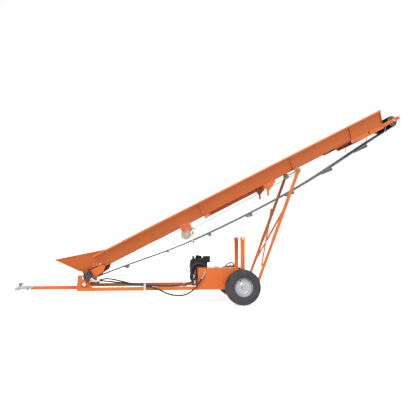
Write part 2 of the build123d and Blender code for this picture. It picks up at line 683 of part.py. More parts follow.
def make_head_bars():
    """Take-up bars under the trough's flanges, the brackets behind them and the strip ahead of them."""
    outline = [(4930, FLANGE_V - 0.2), (5510, FLANGE_V - 0.2), (5510, -42), (5184, -46), (5176, -62), (4900, -62)]
    bar = plate_y(outline, -300, -292)
    top = block(4930, 5180, -292, -263, 5.8, FLANGE_V - 0.2)
    lower = block(4900, 5176, -292, -272, -62, -56)
    bar = bar + top + lower - bar_y(HEAD_U, HEAD_V, 12.2, -310, -280)
    box_part = plate_y([(4580, FLANGE_V - 0.2), (4900, FLANGE_V - 0.2), (4900, -62), (4590, -50)], -300, -292)
    strip = block(4310, 4562, -272, -263, -8, FLANGE_V - 0.2)
    bar = drilled(bar, head_bolts() + flange_bolts())
    pieces = [bar, drilled(box_part, head_bolts()), strip]
    save("head_bars", placed(TROUGH, [piece for part in pieces for piece in both_sides(part)]))


def make_head_roller():
    drum = tube_y(HEAD_U, HEAD_V, HEAD_R - GAP, 68, -256, 256)
    ends = [tube_y(HEAD_U, HEAD_V, 68, 12.2, y, y + 6) for y in (-250, 244)]
    drum = drum + ends[0] + ends[1] + bar_y(HEAD_U, HEAD_V, 12.15, -318, 318)
    save("head_roller", placed(TROUGH, [drum]))


def make_hooks():
    """Slim rods below the head bars that keep the belt's return run off the frame."""
    hooks = []
    for top, low in (((5235, -34), (5157, -117)), ((4769, -50), (4720, -110))):
        drop = rod((top[0], -305, top[1]), (low[0], -305, low[1]), 4)
        toe = rod((low[0], -305, low[1]), (low[0], -281, low[1]), 4)
        hooks.append(drop + toe + Pos(low[0], -305, low[1]) * Sphere(5))
    return [piece for hook in hooks for piece in both_sides(hook)]


# ---- belt ----
# Points of the sagging return run, between the drive roller and the head roller.
RETURN_SAG = [(532, -125), (1198, -214), (1702, -258), (2331, -281), (3056, -285), (3700, -262), (4300, -208),
              (4900, -145)]
RETURN_CLEATS = (532.0, 1192.0, 1883.0, 2597.0, 3357.0, 4096.0, 4811.0)


def belt_arc(u, v, radius, start, end):
    """Part of the belt round a roller, between two angles in degrees."""
    inner = [(u + radius * math.cos(math.radians(a)), v + radius * math.sin(math.radians(a)))
             for a in range(start, end + 1, 5)]
    outer = [(u + (radius + BELT_T) * math.cos(math.radians(a)), v + (radius + BELT_T) * math.sin(math.radians(a)))
             for a in range(end, start - 1, -5)]
    return plate_y(inner + outer, -BELT_W / 2, BELT_W / 2)


def make_belt():
    top = block(0, HEAD_U, -BELT_W / 2, BELT_W / 2, DRIVE_R, DRIVE_R + BELT_T)
    top += belt_arc(0, 0, DRIVE_R, 90, 260) + belt_arc(HEAD_U, HEAD_V, HEAD_R, -85, 90)
    save("belt_top_run", placed(TROUGH, [top]))
    lower = return_underside()
    upper = [(u, v + BELT_T) for u, v in lower]
    edges = [Spline(*lower), Line(lower[-1], upper[-1]), Spline(*upper), Line(upper[0], lower[0])]
    outline = make_face([Plane.XZ * edge for edge in edges])
    run = Pos(0, -BELT_W / 2, 0) * extrude(outline, BELT_W, dir=(0, 1, 0))
    save("belt_return_run", placed(TROUGH, [run]))


def return_underside():
    start = (0.9, -DRIVE_R - BELT_T)
    end = (HEAD_U - 3, HEAD_V - HEAD_R - BELT_T)
    return [start] + [(u, v - BELT_T / 2) for u, v in RETURN_SAG] + [end]


def cleat():
    """Folded steel paddle, standing on the belt with its foot flat."""
    section = [(0, 0.2), (40, 0.2), (40, 3.2), (3, 3.2), (3, CLEAT_H), (0, CLEAT_H)]
    return plate_y(section, -BELT_W / 2 + 8, BELT_W / 2 - 8)


def return_station(u):
    """Height and slope of the return run's underside at a distance u along the trough."""
    line = Spline(*return_underside())
    low, high = 0.0, 1.0
    for _ in range(40):
        middle = (low + high) / 2
        if line.position_at(middle).X < u:
            low = middle
        else:
            high = middle
    tangent = line.tangent_at(low)
    return line.position_at(low).Y, math.degrees(math.atan2(tangent.Y, tangent.X))


def make_cleats():
    first = 360.0
    count = int((HEAD_U - 100 - first) / CLEAT_SPACING) + 1
    top = [Location((first + i * CLEAT_SPACING, 0, DRIVE_R + BELT_T)) * cleat() for i in range(count)]
    save("cleats_top", placed(TROUGH, top))
    hung = []
    for u in RETURN_CLEATS:
        v, slope = return_station(u)
        hung.append(Location((u, 0, v - 1.0), (0, 180 - slope, 0)) * cleat())
    save("cleats_return", placed(TROUGH, hung))


# ---- winch ----
WINCH_U = 1534.0
WINCH_V = -121.0
CRANK_U = 1623.0
CRANK_V = -119.0
GEAR_R = 74.0
PINION_R = math.hypot(CRANK_U - WINCH_U, CRANK_V - WINCH_V) - GEAR_R
HOOK_U = 3440.0


def winch_bolts():
    """Bolts of the winch bracket through the left trough wall."""
    return [((u, -326.3, 30), (0, 1, 0), 25, 10) for u in (1520, 1575, 1640)]


def make_winch():
    bracket = plate_y([(1500, 46), (1665, 46), (1665, -30), (1640, -150), (1560, -165), (1500, -90)], -326, -320)
    bracket = drilled(bracket, winch_bolts() + lower_winch_bolts())
    cheeks = [block(1490, 1650, y, y + 3, -165, -52) for y in (-312, -215)]
    web = block(1490, 1650, -312, -212, -55, -52)
    frame = cheeks[0] + cheeks[1] + web
    guard = plate_y([(1508, -154), (1586, -154), (1586, -84), (1562, -84), (1562, -30), (1518, -30), (1518, -84),
                     (1508, -84)], -348, -345)
    for u in (1530, 1550):
        guard += rod((u, -345.5, -38), (u, -326.2, -38), 5)
    bores = [bar_y(WINCH_U, WINCH_V, 8 + FIT, -400, -200), bar_y(CRANK_U, CRANK_V, 8 + FIT, -400, -200)]
    pieces = [drilled(frame - bores[0] - bores[1], lower_winch_bolts()), bracket - bores[0] - bores[1], guard]
    save("winch_frame", placed(TROUGH, pieces))
    gear = bar_y(WINCH_U, WINCH_V, GEAR_R - 2, -338, -331)
    wheel = bar_y(WINCH_U, WINCH_V, 30, -300, -222)
    flanges = [bar_y(WINCH_U, WINCH_V, 48, y, y + 3) for y in (-303, -222)]
    shaft = bar_y(WINCH_U, WINCH_V, 8, -342, -210)
    save("winch_drum", placed(TROUGH, [gear + wheel + flanges[0] + flanges[1] + shaft]))
    pinion = bar_y(CRANK_U, CRANK_V, PINION_R - 2, -338, -331)
    arm = plate_y([(1612, -110), (1634, -110), (1586, -270), (1564, -270)], -374, -366)
    hub = bar_y(CRANK_U, CRANK_V, 17, -380, -352)
    grip = bar_y(1575, -264, 14, -474, -376) + bar_y(1575, -264, 7, -378, -362)
    crank_shaft = bar_y(CRANK_U, CRANK_V, 8, -366, -210)
    save("winch_crank", placed(TROUGH, [pinion + hub + arm + grip + crank_shaft]))
    pawl = plate_y([(1652, -62), (1668, -58), (1700, -118), (1692, -122), (1650, -78)], -334, -330)
    pawl += bar_y(1658, -68, 6, -338, -326.4)
    save("winch_pawl", placed(TROUGH, [pawl]))


def lower_winch_bolts():
    return [((u, -326.3, -66), (0, 1, 0), 17.5, 10) for u in (1612, 1640)]


def make_cable():
    """Wire rope from the drum to the hook, and the hook that pulls on the roller axle."""
    start = (WINCH_U, -258.0, WINCH_V + 33.2)
    end = (HOOK_U, 0.0, -66.0)
    save("winch_cable", placed(TROUGH, [rod(start, end, 3)]))
    hook = plate_y([(HOOK_U + 1, -60), (3560, -60), (3592, -62), (3592, -24), (3602, -24), (3602, -72),
                    (HOOK_U + 1, -72)], -10, 10)
    save("cable_hook", placed(TROUGH, [hook]))


def saddle_bolts():
    return [((u, -302, v), (0, 1, 0), 10, 12) for u, v in ((3109, -38), (3048, -26), (3008, -37))]


def make_saddle_brackets():
    """Brackets below the second section, their stub legs, the bar between and the pulley bracket."""
    outline = [(2944, FLANGE_V - 0.2), (3160, FLANGE_V - 0.2), (3150, -30), (3010, -100), (2972, -100)]
    web = plate_y(outline, -300, -292) + block(2994, 3160, -292, -263, 5.8, FLANGE_V - 0.2)
    web = drilled(web, saddle_bolts() + flange_bolts())
    stub = rod((2990, -280, -84), (2952, -280, -169), 15) & block(2900, 3100, -291.8, -260, -200, 0)
    cap = rod((2990, -280, -84), (2952, -280, -169), 15) & block(2900, 3100, -300, -292, -200, -100)
    cross = [block(u - 15, u + 15, -291.6, 291.6, -33, FLANGE_V - 0.2) for u in CROSS_BARS]
    cross = [drilled(drilled(piece, flange_bolts()), mirrored(flange_bolts())) for piece in cross]
    bar = block(2008, 2961, -22, 22, -33, 10)
    pulley_plates = [block(1921, 1951, y, y + 3, -28, FLANGE_V - 0.2) for y in (-300, -268)]
    bore = bar_y(1936, -20, 6 + FIT, -400, -200)
    pieces = both_sides(web) + both_sides(stub + cap) + cross + [bar] + [plate - bore for plate in pulley_plates]
    save("saddle_brackets", placed(TROUGH, pieces))
    pulley = bar_y(1936, -20, 29, -296.4, -268.6) - tube_y(1936, -20, 40, 22, -288, -277)
    save("seam_pulley", placed(TROUGH, [pulley + bar_y(1936, -20, 6, -304, -262)]))


def make_conveyor_bolts():
    left = seam_bolts() + hopper_bolts() + tail_bolts() + head_bolts() + saddle_bolts() + flange_bolts()
    specs = left + mirrored(left) + winch_bolts() + lower_winch_bolts()
    save("conveyor_bolts", placed(TROUGH, bolts(specs) + make_hooks()))


def build():
    os.makedirs("parts", exist_ok=True)
    make_frame_tubes()
    make_pivot_plates()
    make_pivot_bearings()
    make_coupler()
    make_coupler_latch()
    make_frame_bolts()
    make_stub_axles()
    make_posts()
    make_wheel(-1, "left")
    make_wheel(1, "right")
    make_tank()
    make_filler_cap()
    make_tank_ports()
    make_engine()
    make_engine_controls()
    make_pump()
    make_control_valve()
    hose("hose_return", HOSE_RETURN)
    hose("hose_pressure", HOSE_PRESSURE)
    hose("hose_tank", HOSE_TANK)
    make_hose_strap()
    make_legs()
    make_support_rollers()
    make_trough_sides()
    make_floor_pans()
    make_trough_ribs()
    make_hopper()
    make_tail_plates()
    make_tail_bearings()
    make_motor()
    make_drive_roller()
    make_head_bars()
    make_head_roller()
    make_belt()
    make_cleats()
    make_winch()
    make_cable()
    make_saddle_brackets()
    make_conveyor_bolts()
    print(len(WRITTEN), "sub-parts")


build()
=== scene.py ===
import json
import math

import bmesh
import bpy
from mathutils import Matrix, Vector


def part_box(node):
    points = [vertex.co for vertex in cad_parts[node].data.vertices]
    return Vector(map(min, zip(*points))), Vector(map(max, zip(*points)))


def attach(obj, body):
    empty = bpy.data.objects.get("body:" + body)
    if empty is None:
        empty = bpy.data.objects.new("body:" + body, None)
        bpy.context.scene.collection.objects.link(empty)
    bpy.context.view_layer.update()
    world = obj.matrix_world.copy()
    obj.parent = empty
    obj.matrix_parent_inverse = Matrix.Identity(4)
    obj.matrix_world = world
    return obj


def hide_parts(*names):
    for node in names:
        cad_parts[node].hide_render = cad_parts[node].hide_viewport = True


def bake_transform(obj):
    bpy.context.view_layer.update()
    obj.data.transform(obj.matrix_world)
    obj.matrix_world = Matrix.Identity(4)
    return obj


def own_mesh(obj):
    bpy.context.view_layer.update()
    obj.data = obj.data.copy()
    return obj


# Towable cleated-belt conveyor. Metres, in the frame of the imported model: +X towards the
# discharge head, -Y the left side of the towed machine, +Z up, ground at Z = 0.
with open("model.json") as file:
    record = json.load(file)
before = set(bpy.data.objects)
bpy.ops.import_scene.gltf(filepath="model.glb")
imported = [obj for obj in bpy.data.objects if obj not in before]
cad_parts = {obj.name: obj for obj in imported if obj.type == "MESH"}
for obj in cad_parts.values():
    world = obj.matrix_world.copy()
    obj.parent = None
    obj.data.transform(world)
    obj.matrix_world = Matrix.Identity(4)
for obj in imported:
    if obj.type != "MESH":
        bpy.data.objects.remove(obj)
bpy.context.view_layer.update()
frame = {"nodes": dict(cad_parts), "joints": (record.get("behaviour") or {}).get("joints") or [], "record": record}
nodes = frame["nodes"]
joints = {joint["name"]: joint for joint in frame["joints"]}

MM = 0.001
X = Vector((1, 0, 0))
Y = Vector((0, 1, 0))
Z = Vector((0, 0, 1))

# ---- places taken from the frame ----
AXLE = Vector(joints["wheel_left_spin"]["pos_m"])
AXLE_X = AXLE.x
WHEEL_R = AXLE.z
TAIL = Vector(joints["drive_roller_spin"]["pos_m"])
HEAD = Vector(joints["head_roller_spin"]["pos_m"])
WINCH = Vector(joints["winch_drum_turn"]["pos_m"])
CRANK = Vector(joints["winch_crank_turn"]["pos_m"])
PULLEY = Vector(joints["seam_pulley_spin"]["pos_m"])
FILLER = Vector(joints["filler_cap_turn"]["pos_m"])
ALONG = Vector(joints["cable_hook_travel"]["axis"]).normalized()
RISE = Vector((-ALONG.z, 0, ALONG.x))


def at(x, y, z):
    """Point given in millimetres from the axle's place on the ground."""
    return Vector((AXLE_X + x * MM, y * MM, z * MM))


def trough(u, y, v):
    """Point given in millimetres up the trough, across it and square to its floor."""
    return Vector((TAIL.x, 0, TAIL.z)) + ALONG * u * MM + Y * y * MM + RISE * v * MM


HEAD_U = (HEAD - TAIL).dot(ALONG) / MM
HEAD_V = (HEAD - TAIL).dot(RISE) / MM


# ---- materials ----
def noise(tree, scale, detail=4.0, stretch=(1, 1, 1)):
    """Noise in the object's own coordinates, with a mapping that can stretch it."""
    place = tree.nodes.new("ShaderNodeTexCoord")
    mapping = tree.nodes.new("ShaderNodeMapping")
    mapping.inputs["Scale"].default_value = stretch
    texture = tree.nodes.new("ShaderNodeTexNoise")
    texture.inputs["Scale"].default_value = scale
    texture.inputs["Detail"].default_value = detail
    tree.links.new(place.outputs["Object"], mapping.inputs["Vector"])
    tree.links.new(mapping.outputs["Vector"], texture.inputs["Vector"])
    return texture.outputs["Fac"]


def spangle(tree, scale):
    """Cells of even tone, as on galvanised steel or cast grain."""
    place = tree.nodes.new("ShaderNodeTexCoord")
    texture = tree.nodes.new("ShaderNodeTexVoronoi")
    texture.inputs["Scale"].default_value = scale
    tree.links.new(place.outputs["Object"], texture.inputs["Vector"])
    split = tree.nodes.new("ShaderNodeSeparateColor")
    tree.links.new(texture.outputs["Color"], split.inputs["Color"])
    return split.outputs["Red"]


def ramp(tree, source, stops):
    """Colour ramp; stops are pairs of position and colour."""
    node = tree.nodes.new("ShaderNodeValToRGB")
    elements = node.color_ramp.elements
    elements[0].position = stops[0][0]
    elements[0].color = (*stops[0][1], 1)
    elements[1].position = stops[-1][0]
    elements[1].color = (*stops[-1][1], 1)
    for position, colour in stops[1:-1]:
        element = elements.new(position)
        element.color = (*colour, 1)
    tree.links.new(source, node.inputs["Fac"])
    return node.outputs["Color"]


def span(tree, source, low, high):
    """Maps the middle of a noise onto a range."""
    node = tree.nodes.new("ShaderNodeMapRange")
    node.inputs["From Min"].default_value = 0.3
    node.inputs["From Max"].default_value = 0.7
    node.inputs["To Min"].default_value = low
    node.inputs["To Max"].default_value = high
    tree.links.new(source, node.inputs["Value"])
    return node.outputs["Result"]


def mix(tree, factor, first, second):
    node = tree.nodes.new("ShaderNodeMix")
    node.data_type = "RGBA"
    tree.links.new(factor, node.inputs["Factor"])
    tree.links.new(first, node.inputs["A"])
    if isinstance(second, tuple):
        node.inputs["B"].default_value = (*second, 1)
    else:
        tree.links.new(second, node.inputs["B"])
    return node.outputs["Result"]


def edge_mask(tree, radius, threshold):
    """White on sharp edges, broken up by noise: where paint wears off first."""
    bevel = tree.nodes.new("ShaderNodeBevel")
    bevel.samples = 4
    bevel.inputs["Radius"].default_value = radius
    geometry = tree.nodes.new("ShaderNodeNewGeometry")
    dot = tree.nodes.new("ShaderNodeVectorMath")
    dot.operation = "DOT_PRODUCT"
    tree.links.new(bevel.outputs["Normal"], dot.inputs[0])
    tree.links.new(geometry.outputs["Normal"], dot.inputs[1])
    broken = span(tree, noise(tree, 38, 6), 0.0, 0.16)
    total = tree.nodes.new("ShaderNodeMath")
    total.operation = "ADD"
    tree.links.new(dot.outputs["Value"], total.inputs[0])
    tree.links.new(broken, total.inputs[1])
    limit = tree.nodes.new("ShaderNodeMapRange")
    limit.inputs["From Min"].default_value = threshold
    limit.inputs["From Max"].default_value = threshold - 0.07
    tree.links.new(total.outputs["Value"], limit.inputs["Value"])
    return limit.outputs["Result"]


def material(name, tones, rough, metallic=0.0, patch=3.0, grain=600.0, bump=0.05, stretch=(1, 1, 1),
             coat=0.0, wear=None, cells=None, dust=None, shine=0.5):
    """Procedural finish: patches of tone, a fine grain in bump and roughness, worn edges and dust."""
    made = bpy.data.materials.new(name)
    made.use_nodes = True
    tree = made.node_tree
    shader = tree.nodes["Principled BSDF"]
    source = spangle(tree, cells) if cells else noise(tree, patch, 5, stretch)
    spread = [(0.25 + 0.5 * i / (len(tones) - 1), tone) for i, tone in enumerate(tones)]
    colour = ramp(tree, source, spread)
    fine = noise(tree, grain, 3, stretch)
    if wear:
        worn, amount = wear
        colour = mix(tree, edge_mask(tree, 0.0025, amount), colour, worn)
    if dust:
        tone, most = dust
        geometry = tree.nodes.new("ShaderNodeNewGeometry")
        split = tree.nodes.new("ShaderNodeSeparateXYZ")
        tree.links.new(geometry.outputs["Normal"], split.inputs["Vector"])
        product = tree.nodes.new("ShaderNodeMath")
        product.operation = "MULTIPLY"
        product.use_clamp = True
        tree.links.new(split.outputs["Z"], product.inputs[0])
        tree.links.new(span(tree, noise(tree, 9, 6), 0.0, most), product.inputs[1])
        colour = mix(tree, product.outputs["Value"], colour, tone)
    tree.links.new(colour, shader.inputs["Base Color"])
    tree.links.new(span(tree, noise(tree, patch * 4, 6, stretch), *rough), shader.inputs["Roughness"])
    shader.inputs["Metallic"].default_value = metallic
    shader.inputs["Specular IOR Level"].default_value = shine
    shader.inputs["Coat Weight"].default_value = coat
    shader.inputs["Coat Roughness"].default_value = 0.12
    height = tree.nodes.new("ShaderNodeBump")
    height.inputs["Strength"].default_value = bump
    height.inputs["Distance"].default_value = 0.0006
    tree.links.new(fine, height.inputs["Height"])
    tree.links.new(height.outputs["Normal"], shader.inputs["Normal"])
    return made


def make_materials():
    brown = (0.16, 0.055, 0.03)
    tan = (0.50, 0.40, 0.28)
    return {
        "orange_paint": material("orange_enamel", [(0.78, 0.150, 0.010), (0.83, 0.170, 0.014),
                                                   (0.86, 0.190, 0.020)],
                                 (0.38, 0.52), grain=420, bump=0.08, coat=0.06, wear=(brown, 0.86),
                                 dust=(tan, 0.06)),
        "winch_paint": material("winch_enamel", [(0.70, 0.11, 0.02), (0.82, 0.15, 0.025)], (0.3, 0.5),
                                patch=14, grain=500, bump=0.1, coat=0.2, wear=(brown, 0.88)),
        "galvanised": material("galvanised_steel", [(0.30, 0.32, 0.35), (0.40, 0.42, 0.46),
                                                    (0.52, 0.54, 0.58)],
                               (0.40, 0.60), metallic=0.6, cells=90, bump=0.1,
                               wear=((0.25, 0.25, 0.25), 0.86)),
        "dark_steel": material("darkened_steel", [(0.10, 0.11, 0.11), (0.20, 0.21, 0.21)], (0.35, 0.5),
                               metallic=0.6, patch=24, grain=700, bump=0.12),
        "dark_bolt": material("oiled_bolt", [(0.045, 0.032, 0.028), (0.09, 0.07, 0.06)], (0.35, 0.55),
                              metallic=0.5, patch=40, grain=800, bump=0.12),
        "grey_steel": material("grey_steel", [(0.30, 0.31, 0.32), (0.46, 0.47, 0.48)], (0.3, 0.5),
                               metallic=0.55, patch=30, grain=700, bump=0.1),
        "motor_black": material("motor_enamel", [(0.012, 0.018, 0.024), (0.026, 0.034, 0.042)], (0.32, 0.5),
                                patch=22, grain=700, bump=0.3, wear=((0.14, 0.15, 0.16), 0.86)),
        "grey_moulding": material("grey_moulding", [(0.075, 0.075, 0.078), (0.11, 0.11, 0.112)],
                                  (0.3, 0.45),
                                  patch=14, grain=1200, bump=0.2),
        "pink_plastic": material("pale_red_grip", [(0.42, 0.20, 0.17), (0.58, 0.36, 0.32)], (0.3, 0.45),
                                 patch=40, grain=900, bump=0.1),
        # Darker brown-red copy of the orange paint: painted shade for orange parts that sit in shade.
        "worn_orange": material("worn_orange", [(0.42, 0.12, 0.05), (0.62, 0.20, 0.06)], (0.4, 0.55),
                                patch=40, grain=700, bump=0.15),
        "pale_zinc": material("pale_zinc", [(0.70, 0.70, 0.64), (0.84, 0.84, 0.80)], (0.3, 0.45),
                              metallic=0.45, patch=30, grain=800, bump=0.08),
        "zinc": material("zinc_plate", [(0.62, 0.56, 0.36), (0.70, 0.69, 0.60), (0.66, 0.60, 0.62)],
                         (0.25, 0.42), metallic=0.85, patch=26, grain=900, bump=0.06),
        "yellow_zinc": material("yellow_zinc", [(0.36, 0.33, 0.15), (0.42, 0.42, 0.27), (0.44, 0.34, 0.26)],
                                (0.28, 0.45), metallic=0.65, patch=22, grain=700, bump=0.08),
        "bright_yellow_zinc": material("bright_yellow_zinc", [(0.62, 0.56, 0.22), (0.74, 0.74, 0.46),
                                                              (0.66, 0.62, 0.36)],
                                       (0.25, 0.42), metallic=0.55, patch=18, grain=700, bump=0.08),
        "cast_black": material("black_casting", [(0.018, 0.019, 0.021), (0.034, 0.035, 0.037)], (0.38, 0.6),
                               patch=18, grain=700, bump=0.35, wear=((0.16, 0.16, 0.16), 0.86), shine=0.3),
        "engine_metal": material("cast_alloy", [(0.035, 0.036, 0.038), (0.075, 0.076, 0.08)], (0.4, 0.6),
                                 metallic=0.6, patch=16, grain=650, bump=0.4, wear=((0.3, 0.3, 0.3), 0.85)),
        "control_metal": material("valve_casting", [(0.42, 0.43, 0.45), (0.60, 0.61, 0.63)], (0.32, 0.5),
                                  metallic=0.7, patch=20, grain=700, bump=0.25),
        "black_plastic": material("black_moulding", [(0.012, 0.012, 0.013), (0.026, 0.026, 0.028)],
                                  (0.30, 0.48),
                                  patch=10, grain=1400, bump=0.22, dust=(tan, 0.02), shine=0.2),
        "red_plastic": material("red_knob", [(0.42, 0.02, 0.03), (0.55, 0.05, 0.06)], (0.25, 0.4),
                                patch=30, grain=900, bump=0.1),
        "chrome": material("bright_chrome", [(0.72, 0.73, 0.75), (0.86, 0.86, 0.87)], (0.08, 0.2),
                           metallic=1.0, patch=12, grain=300, bump=0.03),
        "steel": material("turned_steel", [(0.36, 0.36, 0.37), (0.52, 0.52, 0.53)], (0.28, 0.45),
                          metallic=0.9, patch=14, grain=300, bump=0.1, stretch=(1, 14, 1)),
        "rubber": material("hose_rubber", [(0.012, 0.012, 0.013), (0.024, 0.024, 0.026)], (0.48, 0.66),
                           patch=12, grain=1100, bump=0.25),
        "belt_rubber": material("belt_rubber", [(0.020, 0.021, 0.022), (0.040, 0.041, 0.043),
                                                (0.075, 0.073, 0.068)],
                                (0.6, 0.82), patch=6, grain=800, bump=0.5, stretch=(1, 4, 1),
                                dust=(tan, 0.22)),
        "belt_edge": material("belt_underside", [(0.10, 0.105, 0.11), (0.17, 0.18, 0.185)], (0.6, 0.8),
                              patch=8, grain=1200, bump=0.4),
        "tyre": material("tyre_rubber", [(0.018, 0.018, 0.019), (0.036, 0.036, 0.038),
                                         (0.05, 0.049, 0.047)],
                         (0.52, 0.72), patch=9, grain=900, bump=0.3, dust=(tan, 0.10)),
        "rim_paint": material("silver_wheel", [(0.38, 0.40, 0.42), (0.52, 0.53, 0.55)], (0.28, 0.42),
                              metallic=0.55, patch=8, grain=800, bump=0.08, coat=0.15,
                              wear=((0.28, 0.27, 0.26), 0.84)),
        "cleat_paint": material("green_grey_steel", [(0.030, 0.060, 0.055), (0.065, 0.105, 0.098)],
                                (0.34, 0.55),
                                metallic=0.2, patch=12, grain=500, bump=0.15,
                                wear=((0.28, 0.28, 0.27), 0.87)),
        "wire_rope": material("wire_rope", [(0.38, 0.37, 0.36), (0.60, 0.59, 0.57)], (0.3, 0.5),
                              metallic=0.85, patch=60, grain=1500, bump=0.2),
        "white_strap": material("white_webbing", [(0.72, 0.72, 0.71), (0.82, 0.82, 0.81)], (0.5, 0.7),
                                patch=20, grain=900, bump=0.4, stretch=(1, 1, 3)),
    }


LOOKS = make_materials()


# ---- mesh building ----
def cylinder_frame(direction):
    """Two directions square to the given one, and to each other."""
    d = direction.normalized()
    side = Y if abs(d.y) < 0.9 else X
    e = side.cross(d).normalized()
    return e, d.cross(e)


def add_box(bm, low, high, axes=(X, Y, Z), origin=Vector((0, 0, 0))):
    """Box between two corners given along three axes."""
    corners = [(a, b, c) for a in (low[0], high[0]) for b in (low[1], high[1]) for c in (low[2], high[2])]
    verts = [bm.verts.new(origin + axes[0] * a + axes[1] * b + axes[2] * c) for a, b, c in corners]
    for face in ((0, 1, 3, 2), (4, 6, 7, 5), (0, 4, 5, 1), (2, 3, 7, 6), (0, 2, 6, 4), (1, 5, 7, 3)):
        bm.faces.new([verts[i] for i in face])


def world_box(bm, x0, x1, y0, y1, z0, z1):
    """Upright box, in millimetres from the axle."""
    add_box(bm, at(x0, y0, z0), at(x1, y1, z1))


def add_lathe(bm, centre, direction, profile, segments=64, closed=False):
    """Turned shape. The profile is a list of radius and distance along the axis, in metres."""
    d = direction.normalized()
    e, f = cylinder_frame(d)
    rings = []
    for radius, along in profile:
        if radius < 1e-6:
            rings.append([bm.verts.new(centre + d * along)])
            continue
        ring = []
        for i in range(segments):
            a = 2 * math.pi * i / segments
            ring.append(bm.verts.new(centre + d * along + (e * math.cos(a) + f * math.sin(a)) * radius))
        rings.append(ring)
    pairs = list(zip(rings, rings[1:]))
    if closed:
        pairs.append((rings[-1], rings[0]))
    for low, high in pairs:
        for i in range(segments):
            j = (i + 1) % segments
            if len(low) == 1 and len(high) == 1:
                continue
            if len(low) == 1:
                bm.faces.new((low[0], high[i], high[j]))
            elif len(high) == 1:
                bm.faces.new((low[i], high[0], low[j]))
            else:
                bm.faces.new((low[i], high[i], high[j], low[j]))
    return rings


def add_drum(bm, centre, direction, radius, length, segments=48, round_off=0.0):
    """Solid cylinder with a small rounded edge at both ends, in metres."""
    c = round_off or min(radius, length) * 0.08
    add_lathe(bm, centre, direction, [(0, 0), (radius - c, 0), (radius - 0.3 * c, 0.3 * c), (radius, c),
                                      (radius, length - c), (radius - 0.3 * c, length - 0.3 * c),
                                      (radius - c, length), (0, length)], segments)


def add_ring(bm, centre, direction, outer, inner, length, segments=48):
    """Tube with square ends, in metres."""
    add_lathe(bm, centre, direction, [(inner, 0), (outer, 0), (outer, length), (inner, length)], segments,
              True)


def add_pipe(bm, points, radius, sides=14):
    """Round bar or tube through points, closed at both ends."""
    d = (points[1] - points[0]).normalized()
    e = cylinder_frame(d)[0]
    rings = []
    for i, point in enumerate(points):
        before = points[max(i - 1, 0)]
        after = points[min(i + 1, len(points) - 1)]
        d = (after - before).normalized()
        e = (e - d * e.dot(d)).normalized()
        f = d.cross(e)
        size = radius[i] if isinstance(radius, (list, tuple)) else radius
        ring = []
        for k in range(sides):
            a = 2 * math.pi * k / sides
            ring.append(bm.verts.new(point + (e * math.cos(a) + f * math.sin(a)) * size))
        rings.append(ring)
    for low, high in zip(rings, rings[1:]):
        for k in range(sides):
            bm.faces.new((low[k], low[(k + 1) % sides], high[(k + 1) % sides], high[k]))
    bm.faces.new(rings[0][::-1])
    bm.faces.new(rings[-1])


def add_plate(bm, outline, origin, ex, ey, thickness):
    """Flat plate: an outline in the plane of ex and ey, and its thickness along their normal."""
    n = ex.cross(ey).normalized() * thickness
    low = [bm.verts.new(origin + ex * a + ey * b) for a, b in outline]
    high = [bm.verts.new(origin + ex * a + ey * b + n) for a, b in outline]
    bm.faces.new(low[::-1])
    bm.faces.new(high)
    count = len(outline)
    for i in range(count):
        j = (i + 1) % count
        bm.faces.new((low[i], low[j], high[j], high[i]))


def add_hex(bm, centre, direction, across, height):
    """Hexagon head with a domed top, and a washer below it."""
    r = across / math.sqrt(3)
    add_lathe(bm, centre + direction.normalized() * across * 0.09, direction,
              [(0, 0), (r, 0), (r, height * 0.82), (r * 0.86, height), (0, height)], 6)
    add_lathe(bm, centre, direction, [(0, 0), (r * 1.12, 0), (r * 1.12, across * 0.09),
                                      (0, across * 0.09)], 24)


def rounded(corners, radius, steps=5):
    """Outline with its corners rounded."""
    line = []
    count = len(corners)
    for i in range(count):
        p = Vector(corners[i])
        a = Vector(corners[i - 1]) - p
        b = Vector(corners[(i + 1) % count]) - p
        reach = min(radius, 0.45 * a.length, 0.45 * b.length)
        start = p + a.normalized() * reach
        end = p + b.normalized() * reach
        for k in range(steps + 1):
            t = k / steps
            line.append(start * (1 - t) ** 2 + p * 2 * t * (1 - t) + end * t * t)
    return line


def add_moulding(bm, corners, depth, radius, edge, place):
    """Body with rounded corners and soft rims. Corners are in mm; place maps a, b and depth to a point."""
    line = rounded(corners, radius)
    centre = sum(line, Vector((0, 0))) / len(line)
    low, high = depth
    loops = []
    for share, h in ((1, low), (0.29, low + 0.29 * edge), (0, low + edge), (0, high - edge),
                     (0.29, high - 0.29 * edge), (1, high)):
        loop = []
        for p in line:
            q = p + (centre - p).normalized() * edge * share
            loop.append(bm.verts.new(place(q.x, q.y, h)))
        loops.append(loop)
    count = len(line)
    for a, b in zip(loops, loops[1:]):
        for i in range(count):
            j = (i + 1) % count
            bm.faces.new((a[i], a[j], b[j], b[i]))
    bm.faces.new(loops[0][::-1])
    bm.faces.new(loops[-1])


def side_on(a, b, h):
    """Outline in X and Z, depth along Y."""
    return at(a, h, b)


def trough_side_on(a, b, h):
    """Outline along and square to the trough, depth along Y."""
    return trough(a, h, b)


def add_gear(bm, centre, radius, teeth, depth, y0, y1, bore):
    """Spur gear across Y, in metres, with tapered teeth."""
    outline = []
    for i in range(teeth):
        for share, r in ((0.0, radius - depth), (0.28, radius - depth), (0.42, radius + depth * 0.8),
                         (0.68, radius + depth * 0.8), (0.82, radius - depth)):
            a = 2 * math.pi * (i + share) / teeth
            outline.append((r * math.cos(a), r * math.sin(a)))
    count = len(outline)
    loops = []
    for y, share in ((y0, 0), (y0, 1), (y1, 1), (y1, 0)):
        loops.append([bm.verts.new(Vector((centre.x, y,
                                           centre.z)) + (X * a + Z * b) * (1 if share else bore / radius))
                      for a, b in outline])
    for a, b in zip(loops, loops[1:] + loops[:1]):
        for i in range(count):
            j = (i + 1) % count
            bm.faces.new((a[i], a[j], b[j], b[i]))


